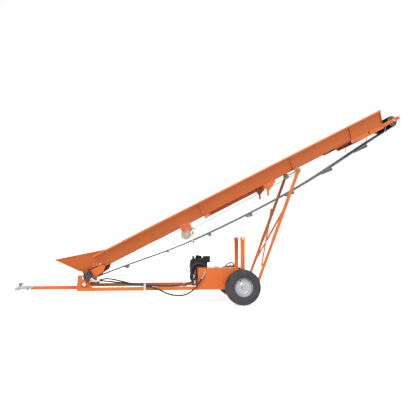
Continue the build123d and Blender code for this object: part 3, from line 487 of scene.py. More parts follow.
def finish_mesh(bm, name, look, body, replaced=(), bevel=0.0008, angle=35):
    """Turns the mesh into a piece on a body, with smooth shading and small rounded edges."""
    bmesh.ops.recalc_face_normals(bm, faces=bm.faces)
    mesh = bpy.data.meshes.new(name)
    bm.to_mesh(mesh)
    bm.free()
    mesh.shade_smooth()
    mesh.set_sharp_from_angle(angle=math.radians(angle))
    piece = bpy.data.objects.new(name, mesh)
    bpy.context.scene.collection.objects.link(piece)
    mesh.materials.append(LOOKS[look])
    if bevel:
        rounding = piece.modifiers.new("rounded_edges", "BEVEL")
        rounding.width = bevel
        rounding.segments = 2
        rounding.limit_method = "ANGLE"
        rounding.angle_limit = math.radians(40)
    if body:
        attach(piece, body)
    if replaced:
        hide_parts(*replaced)
    return piece


# ---- camera, light and floor ----
def make_camera():
    data = bpy.data.cameras.new("camera")
    data.lens = 34.615
    data.sensor_width = 36.0
    camera = bpy.data.objects.new("camera", data)
    camera.location = (AXLE_X - 1.11102, -6.35, 0.9482)
    camera.rotation_euler = (math.radians(90 + 4.574), 0, math.radians(-5.833))
    bpy.context.scene.collection.objects.link(camera)
    bpy.context.scene.camera = camera


def make_light():
    scene = bpy.context.scene
    scene.view_settings.view_transform = "Standard"
    world = bpy.data.worlds.new("studio")
    world.use_nodes = True
    scene.world = world
    tree = world.node_tree
    background = tree.nodes["Background"]
    place = tree.nodes.new("ShaderNodeTexCoord")
    split = tree.nodes.new("ShaderNodeSeparateXYZ")
    tree.links.new(place.outputs["Generated"], split.inputs["Vector"])
    height = tree.nodes.new("ShaderNodeMapRange")
    height.inputs["From Min"].default_value = -0.10
    height.inputs["From Max"].default_value = -0.02
    tree.links.new(split.outputs["Z"], height.inputs["Value"])
    colour = ramp(tree, height.outputs["Result"], [(0.0, (0.30, 0.30, 0.31)), (1.0, (1.0, 1.0, 1.0))])
    tree.links.new(colour, background.inputs["Color"])
    background.inputs["Strength"].default_value = 1.0
    for name, angles, strength, softness in (("key", (48, 0, -22), 1.35, 16),
                                             ("rim", (50, 0, 160), 0.5, 30)):
        data = bpy.data.lights.new(name, "SUN")
        data.energy = strength
        data.angle = math.radians(softness)
        light = bpy.data.objects.new(name, data)
        light.rotation_euler = [math.radians(a) for a in angles]
        scene.collection.objects.link(light)


def make_floor():
    bm = bmesh.new()
    add_lathe(bm, Vector((0, 0, 0)), Z, [(0, 0), (400, 0)], 96)
    piece = finish_mesh(bm, "floor", "white_strap", None, bevel=0)
    piece.data.materials.clear()
    made = bpy.data.materials.new("pale_floor")
    made.use_nodes = True
    tree = made.node_tree
    shader = tree.nodes["Principled BSDF"]
    tone = ramp(tree, noise(tree, 2.0, 3), [(0.3, (0.90, 0.90, 0.90)), (0.7, (0.93, 0.93, 0.93))])
    tree.links.new(tone, shader.inputs["Base Color"])
    shader.inputs["Emission Color"].default_value = (1, 1, 1, 1)
    shader.inputs["Emission Strength"].default_value = 0.6
    shader.inputs["Roughness"].default_value = 0.9
    shader.inputs["Specular IOR Level"].default_value = 0.1
    piece.data.materials.append(made)
    piece.visible_diffuse = False


# ---- hoses ----
HOSE_D = 0.022
RETURN_ROUTE = [(-569, -330.5, 408.5), (-600, -337, 357), (-652, -360, 275), (-742, -370, 187),
                (-845, -372, 139),
                (-955, -372, 131), (-1075, -371, 153), (-1190, -368, 208), (-1315, -354, 258),
                (-1450, -341, 281), (-1605, -341, 307), (-1762, -347, 348), (-1915, -358, 386),
                (-2035, -362, 388), (-2118, -362, 357)]
PRESSURE_ROUTE = [(-668, -244, 400), (-681, -267, 378), (-713, -288, 344), (-775, -304, 303),
                  (-865, -315, 279),
                  (-990, -320, 271), (-1150, -321, 270), (-1290, -319, 275), (-1440, -315, 282),
                  (-1620, -314, 300), (-1800, -317, 326), (-1975, -324, 349), (-2075, -330, 356),
                  (-2160, -335, 352)]
TANK_ROUTE = [(-190, -83, 553), (-156, -78, 578), (-108, -58, 596), (-62, -16, 585), (-40, 42, 549),
              (-44, 104, 508), (-84, 164, 479), (-160, 214, 463), (-262, 254, 460), (-366, 286, 446),
              (-448, 310, 412), (-502, 324, 386), (-540, 327, 380)]


def route_curve(name, route):
    """Smooth NURBS line with the route's points as control points."""
    data = bpy.data.curves.new(name, "CURVE")
    data.dimensions = "3D"
    data.resolution_u = 12
    spline = data.splines.new("NURBS")
    spline.points.add(len(route) - 1)
    for point, place in zip(spline.points, route):
        point.co = (*at(*place), 1)
    spline.order_u = 3
    spline.use_endpoint_u = True
    piece = bpy.data.objects.new(name, data)
    bpy.context.scene.collection.objects.link(piece)
    return piece


def line_points(curve):
    """Points of a curve's own line."""
    bpy.context.view_layer.update()
    mesh = bpy.data.meshes.new_from_object(curve.evaluated_get(bpy.context.evaluated_depsgraph_get()))
    return [vertex.co.copy() for vertex in mesh.vertices]


def make_hose(name, route, crossing):
    """Rubber hose along its route; its crimped ends are made with the fittings. A crossing hose is put on no body,
    with its place baked into the mesh.
    """
    curve = route_curve(name + "_line", route)
    points = line_points(curve)
    bpy.data.objects.remove(curve)
    bm = bmesh.new()
    add_pipe(bm, points, HOSE_D / 2, 20)
    piece = finish_mesh(bm, name + "_hose", "rubber", None if crossing else "trailer_frame", (name,),
                        bevel=0)
    if crossing:
        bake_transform(piece)


def add_hose_end(bm, start, following):
    """Crimped sleeve and hexagon at the end of a hose; gives the point where its stem ends."""
    d = (start - following).normalized()
    sleeve = [(11.4, -46), (14.4, -45), (14.4, -31), (13.2, -29), (14.4, -27), (14.4, -16), (13.2, -14),
              (14.4, -12),
              (14.4, -3), (12.0, 0), (8.0, 1)]
    add_lathe(bm, start, d, [(r * MM, y * MM) for r, y in sleeve], 32)
    add_lathe(bm, start, d, [(0.008, 0), (0.0162, 0.001), (0.0162, 0.017), (0.0145, 0.019), (0.0, 0.019)],
              6)
    return start + d * 0.018


def make_fittings():
    """Fittings of the hoses on the tank and the motor; the fittings on the valve and the pump are made with those
    parts.
    """
    bm = bmesh.new()
    tip = add_hose_end(bm, at(*RETURN_ROUTE[0]), at(*RETURN_ROUTE[1]))
    elbow = at(-543, -323, 452)
    add_pipe(bm, [tip, tip.lerp(elbow, 0.7), elbow, at(-543, -314, 453)], 0.0105, 20)
    add_lathe(bm, at(-543, -321, 453), Y, [(0, 0), (0.0165, 0.001), (0.0165, 0.011), (0.0215, 0.012),
                                           (0.0215, 0.021)], 6)
    tip = add_hose_end(bm, at(*TANK_ROUTE[0]), at(*TANK_ROUTE[1]))
    add_pipe(bm, [tip, tip.lerp(at(-232, -88, 530), 0.6), at(-232, -88, 522)], 0.0110, 20)
    add_lathe(bm, at(-232, -88, 524), Z, [(0, 0), (0.0225, 0.0), (0.0225, 0.005), (0.019, 0.006),
                                          (0.019, 0.014),
                                         (0.012, 0.016)], 6)
    finish_mesh(bm, "tank_fittings", "grey_steel", "trailer_frame", ("tank_ports",),
                bevel=0.0005)
    bm = bmesh.new()
    for route, port in ((PRESSURE_ROUTE, (-2218, -376, 396)), (RETURN_ROUTE, (-2196, -402, 404))):
        tip = add_hose_end(bm, at(*route[-1]), at(*route[-2]))
        mouth = at(*port)
        add_pipe(bm, [tip, tip.lerp(mouth, 0.35), tip.lerp(mouth, 0.7), mouth],
                 [0.0118, 0.0138, 0.0138, 0.0125], 20)
    finish_mesh(bm, "motor_fittings", "pale_zinc", "conveyor", bevel=0.0005)


# ---- wheels ----
def make_tyre(side, name):
    """Ribbed trailer tyre: a turned carcass with grooves round it and cuts across its shoulders."""
    centre = Vector((AXLE_X, side * abs(AXLE.y), WHEEL_R))
    half = [(129, 70), (130.5, 79), (135, 83.5), (142, 85.4), (156, 86.5), (158, 88.2), (162, 88.6),
            (164, 88),
            (172, 93), (182, 97), (188, 98.4), (191, 99.8), (196, 99.9), (199, 98.6), (212, 98), (222, 96),
            (229, 93.4), (231, 94.4), (235, 93), (240, 88), (246, 82), (250, 77.5), (252.5, 73)]
    ribs = [(255, 68), (256.6, 57), (250.4, 55.5), (250.4, 49.5), (257.4, 48), (258.8, 29), (251.6, 27.5),
            (251.6, 21.5), (259.2, 20), (259.9, 5)]
    outer = half + ribs
    profile = outer + [(r, -y) for r, y in outer[::-1]]
    inner = [(129, -70), (150, -78), (190, -90), (225, -86), (238, -60), (246, 0), (238, 60), (225, 86),
             (190, 90),
             (150, 78), (129, 70)]
    segments = 216
    bm = bmesh.new()
    rings = add_lathe(bm, centre, Y * side, [(r * MM, y * MM) for r, y in profile + inner[1:-1]], segments,
                      True)
    shoulder = {i for i, (r, y) in enumerate(profile) if 248 < r and 52 < abs(y) < 80}
    middle = {i for i, (r, y) in enumerate(profile) if 255 < r and abs(y) < 50}
    for i in shoulder | middle:
        for k, vertex in enumerate(rings[i]):
            step = 6 if i in shoulder else 9
            if k % step == 0:
                away = vertex.co - centre
                away.y = 0
                vertex.co -= away.normalized() * (0.0045 if i in shoulder else 0.002)
    finish_mesh(bm, f"tyre_{name}_ribbed", "tyre", f"wheel_{name}", (f"tyre_{name}",), bevel=0, angle=40)


def make_rim(side, name):
    """Pressed steel wheel: rolled edge, ringed disc, hub tube and a dust cap."""
    centre = Vector((AXLE_X, side * abs(AXLE.y), WHEEL_R))
    d = Y * side
    shell = [(140, 80), (140.5, 84), (138.5, 86.6), (135, 86), (132.5, 82), (131.5, 74), (130, 68),
             (126, 63),
             (119, 58), (115.5, 52), (112, 46.5), (106, 44), (100, 44.6), (96, 47), (91, 49.4), (85, 49.4),
             (80, 46.6), (75, 43.8), (69, 43.4), (64, 45.2), (59, 48.6), (54, 50.2), (38, 50.2), (31, 50.2),
             (31, 46.8), (38, 46.8), (54, 46.8), (58, 45.4), (63, 42), (69, 40), (76, 40.4), (82, 43.4),
             (86, 46),
             (90, 46), (95, 43.6), (99, 41.2), (107, 40.6), (113, 42), (114, 20), (114, -50), (119, -60),
             (127, -66), (129, -74), (130, -82), (135, -86), (139, -86), (140.5, -82), (138, -79),
             (133, -78),
             (132.5, -70), (129, -66), (122, -60), (118, -50), (118, 50), (122, 58), (128.5, 64),
             (132.5, 68),
             (133.5, 76), (137, 79)]
    bm = bmesh.new()
    tucked = [(r if r < 126 else 126 + (r - 126) * 0.55, y) for r, y in shell]
    add_lathe(bm, centre, d, [(r * MM, y * MM) for r, y in tucked], 128, True)
    hub = [(20.6, -58), (30.4, -58), (31, -57), (31, 45), (34, 47), (34, 50.5), (31, 51), (31, 59),
           (30, 60.2),
           (20.6, 60.2)]
    add_lathe(bm, centre, d, [(r * MM, y * MM) for r, y in hub], 64, True)
    finish_mesh(bm, f"rim_{name}_disc", "rim_paint", f"wheel_{name}", (f"rim_{name}",), bevel=0, angle=50)
    bm = bmesh.new()
    cap = [(31, 60.4), (31, 63), (29.6, 64), (27, 64.4), (26.4, 66), (26, 82), (24.6, 86), (21, 88.4),
           (19.5, 88.2),
           (18.5, 89.4), (9, 91.6), (0, 92)]
    add_lathe(bm, centre, d, [(0, 0.0604)] + [(r * MM, y * MM) for r, y in cap], 64)
    add_lathe(bm, centre, d, [(r * MM, y * MM) for r, y in ((12.9, -56), (20.4, -56), (20.4, -44),
                                                            (12.9, -44))], 48, True)
    finish_mesh(bm, f"hub_cap_{name}", "galvanised", f"wheel_{name}", bevel=0, angle=30)
    bm = bmesh.new()
    foot = centre + Vector((-0.040, side * 0.044, 0.092))
    tip = foot + Vector((-0.010, side * 0.034, 0.012))
    add_pipe(bm, [foot, foot.lerp(tip, 0.3), foot.lerp(tip, 0.35), foot.lerp(tip, 0.8),
                  foot.lerp(tip, 0.82), tip],
             [0.0085, 0.0078, 0.0055, 0.0050, 0.0062, 0.0058], 20)
    finish_mesh(bm, f"valve_stem_{name}", "rubber", f"wheel_{name}", bevel=0)


# ---- belt ----
BELT_HALF = 250
BELT_T = 12
DRIVE_R = 57
HEAD_R = 77
RETURN_SAG = [(532, -125), (1198, -214), (1702, -258), (2331, -281), (3056, -285), (3700, -262),
              (4300, -208),
              (4900, -145)]
RETURN_CLEATS = (532.0, 1192.0, 1883.0, 2597.0, 3357.0, 4096.0, 4811.0)
FIRST_CLEAT = 360.0
CLEAT_SPACING = 710.0
CLEAT_H = 46.0


def add_band(bm, line, half, thickness):
    """Belt along a line of u and v; the thickness goes to the line's left."""
    rows = []
    lip = 1.2
    for i, (u, v) in enumerate(line):
        before = Vector(line[max(i - 1, 0)])
        after = Vector(line[min(i + 1, len(line) - 1)])
        d = (after - before).normalized()
        out = Vector((-d.y, d.x)) * thickness
        near = Vector((u, v))
        far = near + out
        ring = [(near, half - lip), (near, -half + lip), (near + out * 0.25, -half),
                (far - out * 0.25, -half),
                (far, -half + lip), (far, half - lip), (far - out * 0.25, half), (near + out * 0.25, half)]
        rows.append([trough(p.x, y, p.y) for p, y in ring])
    made = [[bm.verts.new(p) for p in row] for row in rows]
    count = len(made[0])
    for a, b in zip(made, made[1:]):
        for i in range(count):
            j = (i + 1) % count
            bm.faces.new((a[i], a[j], b[j], b[i]))
    bm.faces.new(made[0][::-1])
    bm.faces.new(made[-1])


def smooth_line(points, steps):
    """Catmull-Rom line through the points."""
    ends = [tuple(2 * Vector(points[0]) - Vector(points[1]))] + points
    ends.append(tuple(2 * Vector(points[-1]) - Vector(points[-2])))
    line = []
    for i in range(1, len(ends) - 2):
        p = [Vector(ends[i + k]) for k in (-1, 0, 1, 2)]
        for s in range(steps):
            t = s / steps
            line.append(0.5 * (2 * p[1] + (p[2] - p[0]) * t + (2 * p[0] - 5 * p[1] + 4 * p[2] - p[3]) * t * t
                               + (3 * p[1] - p[0] - 3 * p[2] + p[3]) * t ** 3))
    line.append(Vector(points[-1]))
    return [(p.x, p.y) for p in line]


def return_line():
    """Middle of the sagging return run."""
    start = (0.9, -DRIVE_R - BELT_T / 2)
    end = (HEAD_U - 3, HEAD_V - HEAD_R - BELT_T / 2)
    return smooth_line([start] + RETURN_SAG + [end], 12)


def add_cleat(bm, place):
    """Folded steel paddle with gusset ends; the heads of its belt bolts are made apart. place maps a, y, h to a
    point.
    """
    half = BELT_HALF - 8
    section = [(0, 0.2), (40, 0.2), (40, 3.2), (5.5, 3.2), (3.6, 4.0), (3, 5.6), (3, CLEAT_H - 6),
               (7, CLEAT_H - 2),
               (5.5, CLEAT_H), (1.2, CLEAT_H - 3), (0, CLEAT_H - 6)]
    low = [bm.verts.new(place(a, -half, h)) for a, h in section]
    high = [bm.verts.new(place(a, half, h)) for a, h in section]
    bm.faces.new(low[::-1])
    bm.faces.new(high)
    for i in range(len(section)):
        j = (i + 1) % len(section)
        bm.faces.new((low[i], low[j], high[j], high[i]))
    for y0 in (-half, half - 3):
        gusset = [(2.5, 3.0), (26, 3.0), (26, 5.0), (2.5, CLEAT_H - 12)]
        a = [bm.verts.new(place(s, y0, h)) for s, h in gusset]
        b = [bm.verts.new(place(s, y0 + 3, h)) for s, h in gusset]
        bm.faces.new(a[::-1])
        bm.faces.new(b)
        for i in range(4):
            j = (i + 1) % 4
            bm.faces.new((a[i], a[j], b[j], b[i]))


def add_cleat_bolts(bm, place):
    for y in (-190, -65, 65, 190):
        base = place(30, y, 3.2)
        add_hex(bm, base, place(30, y, 4.2) - base, 0.013, 0.0055)


def make_belt():
    arc = []
    for i in range(37):
        a = math.radians(269 - 179 * i / 36)
        arc.append((DRIVE_R * math.cos(a), DRIVE_R * math.sin(a)))
    straight = [(u, DRIVE_R) for u in range(100, int(HEAD_U), 100)]
    head = []
    for i in range(37):
        a = math.radians(90 - 178 * i / 36)
        head.append((HEAD_U + HEAD_R * math.cos(a), HEAD_V + HEAD_R * math.sin(a)))
    bm = bmesh.new()
    add_band(bm, arc + straight + head, BELT_HALF, BELT_T)
    finish_mesh(bm, "belt_top", "belt_rubber", "conveyor", ("belt_top_run",), bevel=0, angle=50)
    line = return_line()
    bm = bmesh.new()
    add_band(bm, [(u, v - BELT_T / 2) for u, v in line], BELT_HALF, BELT_T)
    belt = finish_mesh(bm, "belt_return", "belt_edge", "conveyor", ("belt_return_run",), bevel=0,
                       angle=50)
    top = bmesh.new()
    bolts = bmesh.new()
    count = int((HEAD_U - 100 - FIRST_CLEAT) / CLEAT_SPACING) + 1
    for i in range(count):
        u = FIRST_CLEAT + i * CLEAT_SPACING

        def place(a, y, h, u=u):
            return trough(u + a, y, DRIVE_R + BELT_T + h)

        add_cleat(top, place)
        add_cleat_bolts(bolts, place)
    finish_mesh(top, "cleats_upper", "cleat_paint", "conveyor", ("cleats_top",), bevel=0.0006)
    finish_mesh(bolts, "cleat_bolts_upper", "zinc", "conveyor", bevel=0)
    hung = bmesh.new()
    bolts = bmesh.new()
    for u in RETURN_CLEATS:
        near = min(range(len(line)), key=lambda i: abs(line[i][0] - u))
        a = Vector(line[max(near - 1, 0)])
        b = Vector(line[min(near + 1, len(line) - 1)])
        d = (b - a).normalized()
        share = (u - a.x) / (b.x - a.x)
        base = a.lerp(b, share) - Vector((-d.y, d.x)) * BELT_T / 2

        def below(s, y, h, base=base, d=d):
            p = base - d * s - Vector((-d.y, d.x)) * h
            return trough(p.x, y, p.y)

        add_cleat(hung, below)
        add_cleat_bolts(bolts, below)
    cleats = finish_mesh(hung, "cleats_lower", "cleat_paint", "conveyor", ("cleats_return",), bevel=0)
    heads = finish_mesh(bolts, "cleat_bolts_lower", "zinc", "conveyor", bevel=0)
    for piece in (belt, cleats, heads):
        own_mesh(piece)


# ---- power pack ----
ENGINE = (-610, 470)      # X and Z of the crankshaft, from the axle


def engine_arc(bm, radius, start, end, y, thick):
    """Raised curved rib on the face of the fan shroud."""
    points = []
    for i in range(25):
        a = math.radians(start + (end - start) * i / 24)
        points.append(at(ENGINE[0] + radius * math.cos(a), y, ENGINE[1] + radius * math.sin(a) * 0.96))
    add_pipe(bm, points, thick * MM, 10)


def make_engine():
    """Small air-cooled engine: shroud with recoil starter, finned cylinder, tank, air cleaner, muffler."""
    cx, cz = ENGINE
    bm = bmesh.new()
    arch = [(cx - 134, 372), (cx - 137, 520), (cx - 136, 636), (cx - 104, 657), (cx + 50, 660),
            (cx + 90, 680), (cx + 130, 622),
            (cx + 138, 560), (cx + 134, 480), (cx + 126, 372), (cx + 80, 336), (cx - 96, 336)]
    add_moulding(bm, arch, (-34, 19), 34, 12, side_on)
    add_lathe(bm, at(cx, -30, cz), -Y, [(0.098, -0.004), (0.102, 0.006), (0.096, 0.013), (0.090, 0.014),
                                        (0.084, 0.008),
                                        (0.080, 0.008), (0.080, -0.004)], 72, True)
    finish_mesh(bm, "engine_fan_shroud", "black_plastic", "trailer_frame", ("engine_shroud",), bevel=0.001)
    bm = bmesh.new()
    engine_arc(bm, 122, 38, 150, -34, 4.2)
    engine_arc(bm, 112, 42, 146, -35, 3.2)
    engine_arc(bm, 124, 158, 205, -33, 3.6)
    for i in range(9):
        a = math.radians(50 + i * 11)
        inner = at(cx + 127 * math.cos(a), -33, cz + 127 * math.sin(a) * 1.02)
        add_pipe(bm, [inner, inner + Vector((math.cos(a), 0, math.sin(a))) * 0.020], 0.0022, 8)
    for x, z in ((cx - 118, 392), (cx - 116, 596), (cx + 84, 596), (cx + 82, 392)):
        add_hex(bm, at(x, -33.5, z), -Y, 0.011, 0.006)
    finish_mesh(bm, "shroud_ribs", "grey_moulding", "trailer_frame", bevel=0.0004)
    bm = bmesh.new()
    add_lathe(bm, at(cx, -26, cz), -Y, [(0, 0.012), (0.017, 0.012), (0.019, 0.010), (0.021, 0.004),
                                        (0.024, 0.002),
                                        (0.030, 0.002), (0.030, -0.004), (0, -0.004)], 48)
    for i in range(20):
        a = 2 * math.pi * i / 20
        d = Vector((math.cos(a), 0, math.sin(a)))
        side = d.cross(Y)
        add_pipe(bm, [at(cx, -29, cz) + d * 0.027, at(cx, -31, cz) + d * 0.052 + side * 0.006,
                      at(cx, -29, cz) + d * 0.082 + side * 0.018], 0.0026, 8)
    for r in (0.045, 0.064):
        add_ring(bm, at(cx, -32, cz), Y, r, r - 0.003, 0.004, 56)
    finish_mesh(bm, "recoil_starter_grille", "black_plastic", "trailer_frame", bevel=0.0004)
    bm = bmesh.new()
    grip = [(-744, 584), (-700, 584), (-706, 604), (-738, 604)]
    add_moulding(bm, grip, (-65, -48), 7, 4, side_on)
    add_pipe(bm, [at(-722, -49, 594), at(-722, -41, 594)], 0.0026, 12)
    finish_mesh(bm, "recoil_grip", "black_plastic", "recoil_handle", ("recoil_handle",), bevel=0.0004)
    bm = bmesh.new()
    case = [(-706, 272), (-745, 332), (-745, 400), (-716, 436), (-520, 436), (-497, 404), (-497, 300),
            (-512, 272)]
    add_moulding(bm, case, (24, 218), 22, 9, side_on)
    for x in (-706, -668, -572, -528):
        world_box(bm, x - 3, x + 3, 19.4, 25, 284, 430)
    for x in (-700, -506):
        for y in (40, 200):
            world_box(bm, x - 10, x + 10, y - 16, y + 16, 265.5, 280)
            add_hex(bm, at(x, y, 280), Z, 0.016, 0.008)
    add_lathe(bm, at(-700, 19.5, 300), -Y, [(0, 0.012), (0.008, 0.012), (0.012, 0.009), (0.012, 0.0),
                                            (0, 0.0)], 6)
    for i in range(11):
        z = 446 + i * 15.5
        outline = rounded([(-746, 30), (-746, 210), (-630, 210), (-630, 30)], 22)
        add_plate(bm, [((p.x - cx) * MM, p.y * MM) for p in outline], at(cx, 0, z), X, Y, 0.0042)
    head = [(-704, 615), (-704, 690), (-688, 698), (-676, 690), (-676, 640), (-520, 640), (-520, 615)]
    add_moulding(bm, head, (30, 200), 8, 3, side_on)
    core = [(-734, 42), (-734, 198), (-642, 198), (-642, 42)]
    add_moulding(bm, core, (434, 622), 14, 4, at)
    add_pipe(bm, [at(-745, 120, 560), at(-752, 112, 564), at(-757, 80, 556), at(-754, 40, 520),
                  at(-744, 22, 500)],
             0.0034, 12)
    finish_mesh(bm, "engine_block", "engine_metal", "trailer_frame", ("engine_crankcase",), bevel=0.0007)
    bm = bmesh.new()
    tank = [(-654, 62), (-654, 248), (-546, 248), (-546, 62)]
    add_moulding(bm, tank, (646, 670), 34, 7, at)
    top = [(-650, 68), (-650, 242), (-552, 242), (-552, 68)]
    add_moulding(bm, top, (668, 697), 34, 16, at)
    add_lathe(bm, at(-620, 150, 694), Z, [(0.0215, 0), (0.0255, 0), (0.0255, 0.0035), (0.0225, 0.005),
                                          (0.0215, 0.005)],
              48, True)
    finish_mesh(bm, "fuel_tank", "black_plastic", "trailer_frame", ("engine_fuel_tank",), bevel=0.0006)
    bm = bmesh.new()
    add_lathe(bm, at(-620, 150, 698), Z, [(0, -0.010), (0.0205, -0.010), (0.0205, 0.0), (0.0265, 0.001),
                                          (0.0270, 0.003),
                                          (0.0262, 0.007), (0.022, 0.0078), (0.010, 0.0079), (0, 0.0079)],
              48)
    for i in range(20):
        a = 2 * math.pi * i / 20
        side = Vector((math.cos(a), math.sin(a), 0))
        add_pipe(bm, [at(-620, 150, 699.5) + side * 0.0264, at(-620, 150, 704.5) + side * 0.0258], 0.0013,
                 6)
    finish_mesh(bm, "fuel_cap_ribbed", "black_plastic", "fuel_cap", ("fuel_cap",), bevel=0)
    bm = bmesh.new()
    cover = [(-548, 596), (-550, 688), (-538, 698), (-436, 698), (-430, 690), (-434, 596)]
    add_moulding(bm, cover, (-49, 8), 10, 6, side_on)
    base = [(-542, 602), (-542, 692), (-438, 692), (-438, 602)]
    add_moulding(bm, base, (8, 54), 12, 5, side_on)
    for z in (630, 646, 662, 678):
        add_moulding(bm, [(-536, z - 2.4), (-536, z + 2.4), (-460, z + 2.4), (-460, z - 2.4)], (-51, -47),
                     2, 1, side_on)
    add_lathe(bm, at(-446, -49, 655), -Y, [(0.010, 0), (0.010, 0.004), (0.007, 0.008), (0, 0.009)], 24)
    add_pipe(bm, [at(-506, 30, 614), at(-512, 60, 596), at(-560, 96, 560), at(-632, 110, 548)], 0.019, 24)
    finish_mesh(bm, "air_cleaner", "black_plastic", "trailer_frame", ("engine_air_cleaner",), bevel=0.0006)
    bm = bmesh.new()
    can = [(-599, 452), (-599, 598), (-487, 598), (-487, 452)]
    add_moulding(bm, can, (227, 286), 16, 8, side_on)
    for i in range(6):
        z = 466 + i * 23
        add_pipe(bm, [at(-590, 285, z), at(-580, 289, z), at(-506, 289, z), at(-496, 285, z)], 0.0026, 8)
    add_pipe(bm, [at(-650, 211, 540), at(-650, 228, 540), at(-640, 238, 540), at(-596, 250, 540)], 0.012,
             24)
    finish_mesh(bm, "muffler_guarded", "cast_black", "trailer_frame", ("engine_muffler",), bevel=0.0006)
    bm = bmesh.new()
    add_pipe(bm, [at(-755, y, 440) for y in (-12, -11, 11, 12)], [0.0054, 0.0064, 0.0064, 0.0054], 20)
    add_pipe(bm, [at(-755, 0, 440), at(-772, -5, 458)], 0.0060, 16)
    finish_mesh(bm, "throttle_rod", "dark_steel", "choke_lever", bevel=0)
    bm = bmesh.new()
    add_pipe(bm, [at(-771, -5, 457), at(-774, -6, 460), at(-796, -12, 484), at(-802, -13, 490),
                  at(-807, -14, 496),
                  at(-808, -14, 497)], [0.0050, 0.0080, 0.0078, 0.0090, 0.0078, 0.0040], 20)
    finish_mesh(bm, "throttle_grip", "pink_plastic", "choke_lever", ("choke_lever",),
                bevel=0)
    bm = bmesh.new()
    add_lathe(bm, at(-610, 221, 372), Y, [(0.050, 0), (0.0615, 0.002), (0.0615, 0.012), (0.052, 0.018),
                                          (0.047, 0.046),
                                          (0.056, 0.050), (0.056, 0.058), (0, 0.058)], 64)
    add_moulding(bm, [(-659, 324), (-659, 420), (-561, 420), (-561, 324)], (279.5, 374), 16, 4, side_on)
    add_moulding(bm, [(-655, 328), (-655, 416), (-565, 416), (-565, 328)], (318, 322), 16, 1, side_on)
    tip = add_hose_end(bm, at(*TANK_ROUTE[-1]), at(*TANK_ROUTE[-2]))
    add_pipe(bm, [tip, tip.lerp(at(-572, 328, 372), 0.7), at(-572, 328, 372)], 0.011, 20)
    finish_mesh(bm, "gear_pump", "cast_black", "trailer_frame", ("hydraulic_pump",), bevel=0.0007)


def make_valve():
    """Control valve: spool block, centre section, relief plug and its bracket."""
    x, y = -682, -190
    bm = bmesh.new()
    add_moulding(bm, [(x - 29, 322), (x - 29, 431), (x + 29, 431), (x + 29, 322)], (y - 20, y + 34), 6, 3,
                 side_on)
    add_moulding(bm, [(x - 21, 266), (x - 21, 324), (x + 21, 324), (x + 21, 266)], (y - 20, y + 20), 5, 2,
                 side_on)
    for ear in (y - 15, y + 10):
        add_moulding(bm, [(x - 8, 428), (x - 8, 448), (x + 8, 448), (x + 8, 428)], (ear, ear + 5), 7, 0.8,
                     side_on)
    world_box(bm, x - 44, x + 37, y - 39, -62, 258, 264)
    tip = add_hose_end(bm, at(*PRESSURE_ROUTE[0]), at(*PRESSURE_ROUTE[1]))
    add_pipe(bm, [tip, at(-664, -212, 418)], 0.0115, 20)
    finish_mesh(bm, "valve_block", "cast_black", "trailer_frame", ("control_valve",), bevel=0.0008)
    bm = bmesh.new()
    add_moulding(bm, [(x - 24, 350), (x - 24, 418), (x + 20, 418), (x + 20, 350)], (y - 34, y - 19), 9, 4,
                 side_on)
    add_moulding(bm, [(x - 18, 272), (x - 18, 338), (x + 20, 338), (x + 20, 272)], (y - 25, y - 19), 5,
                 1.5, side_on)
    add_lathe(bm, at(x + 2, y - 32, 384), -Y, [(0.0, 0.003), (0.009, 0.003), (0.011, 0.0),
                                               (0.011, -0.004)], 6)
    add_lathe(bm, at(x + 2, y - 25, 300), -Y, [(0, 0.008), (0.012, 0.008), (0.014, 0.005),
                                               (0.014, -0.002)], 6)
    for side in (-22, 22):
        add_hex(bm, at(x + side, y - 20, 424), -Y, 0.008, 0.005)
    finish_mesh(bm, "valve_relief_section", "control_metal", "trailer_frame", bevel=0.0006)
    bm = bmesh.new()
    add_pipe(bm, [at(x, y - 17, 441), at(x, y + 17, 441)], 0.004, 16)
    add_pipe(bm, [at(x, y, 441), at(x + 4, y - 4, 466)], 0.0036, 16)
    finish_mesh(bm, "valve_lever_rod", "zinc", "valve_lever", bevel=0)
    bm = bmesh.new()
    up = Vector((1, -1, 8)).normalized()
    add_lathe(bm, at(x + 3.4, y - 3.4, 462), up, [(0, 0), (0.0050, 0.0005), (0.0070, 0.003),
                                                  (0.0110, 0.007),
                                                  (0.0130, 0.013), (0.0122, 0.019), (0.0090, 0.024),
                                                  (0.0045, 0.0265),
                                                  (0, 0.0268)], 40)
    finish_mesh(bm, "valve_knob", "red_plastic", "valve_lever", ("valve_lever",), bevel=0)


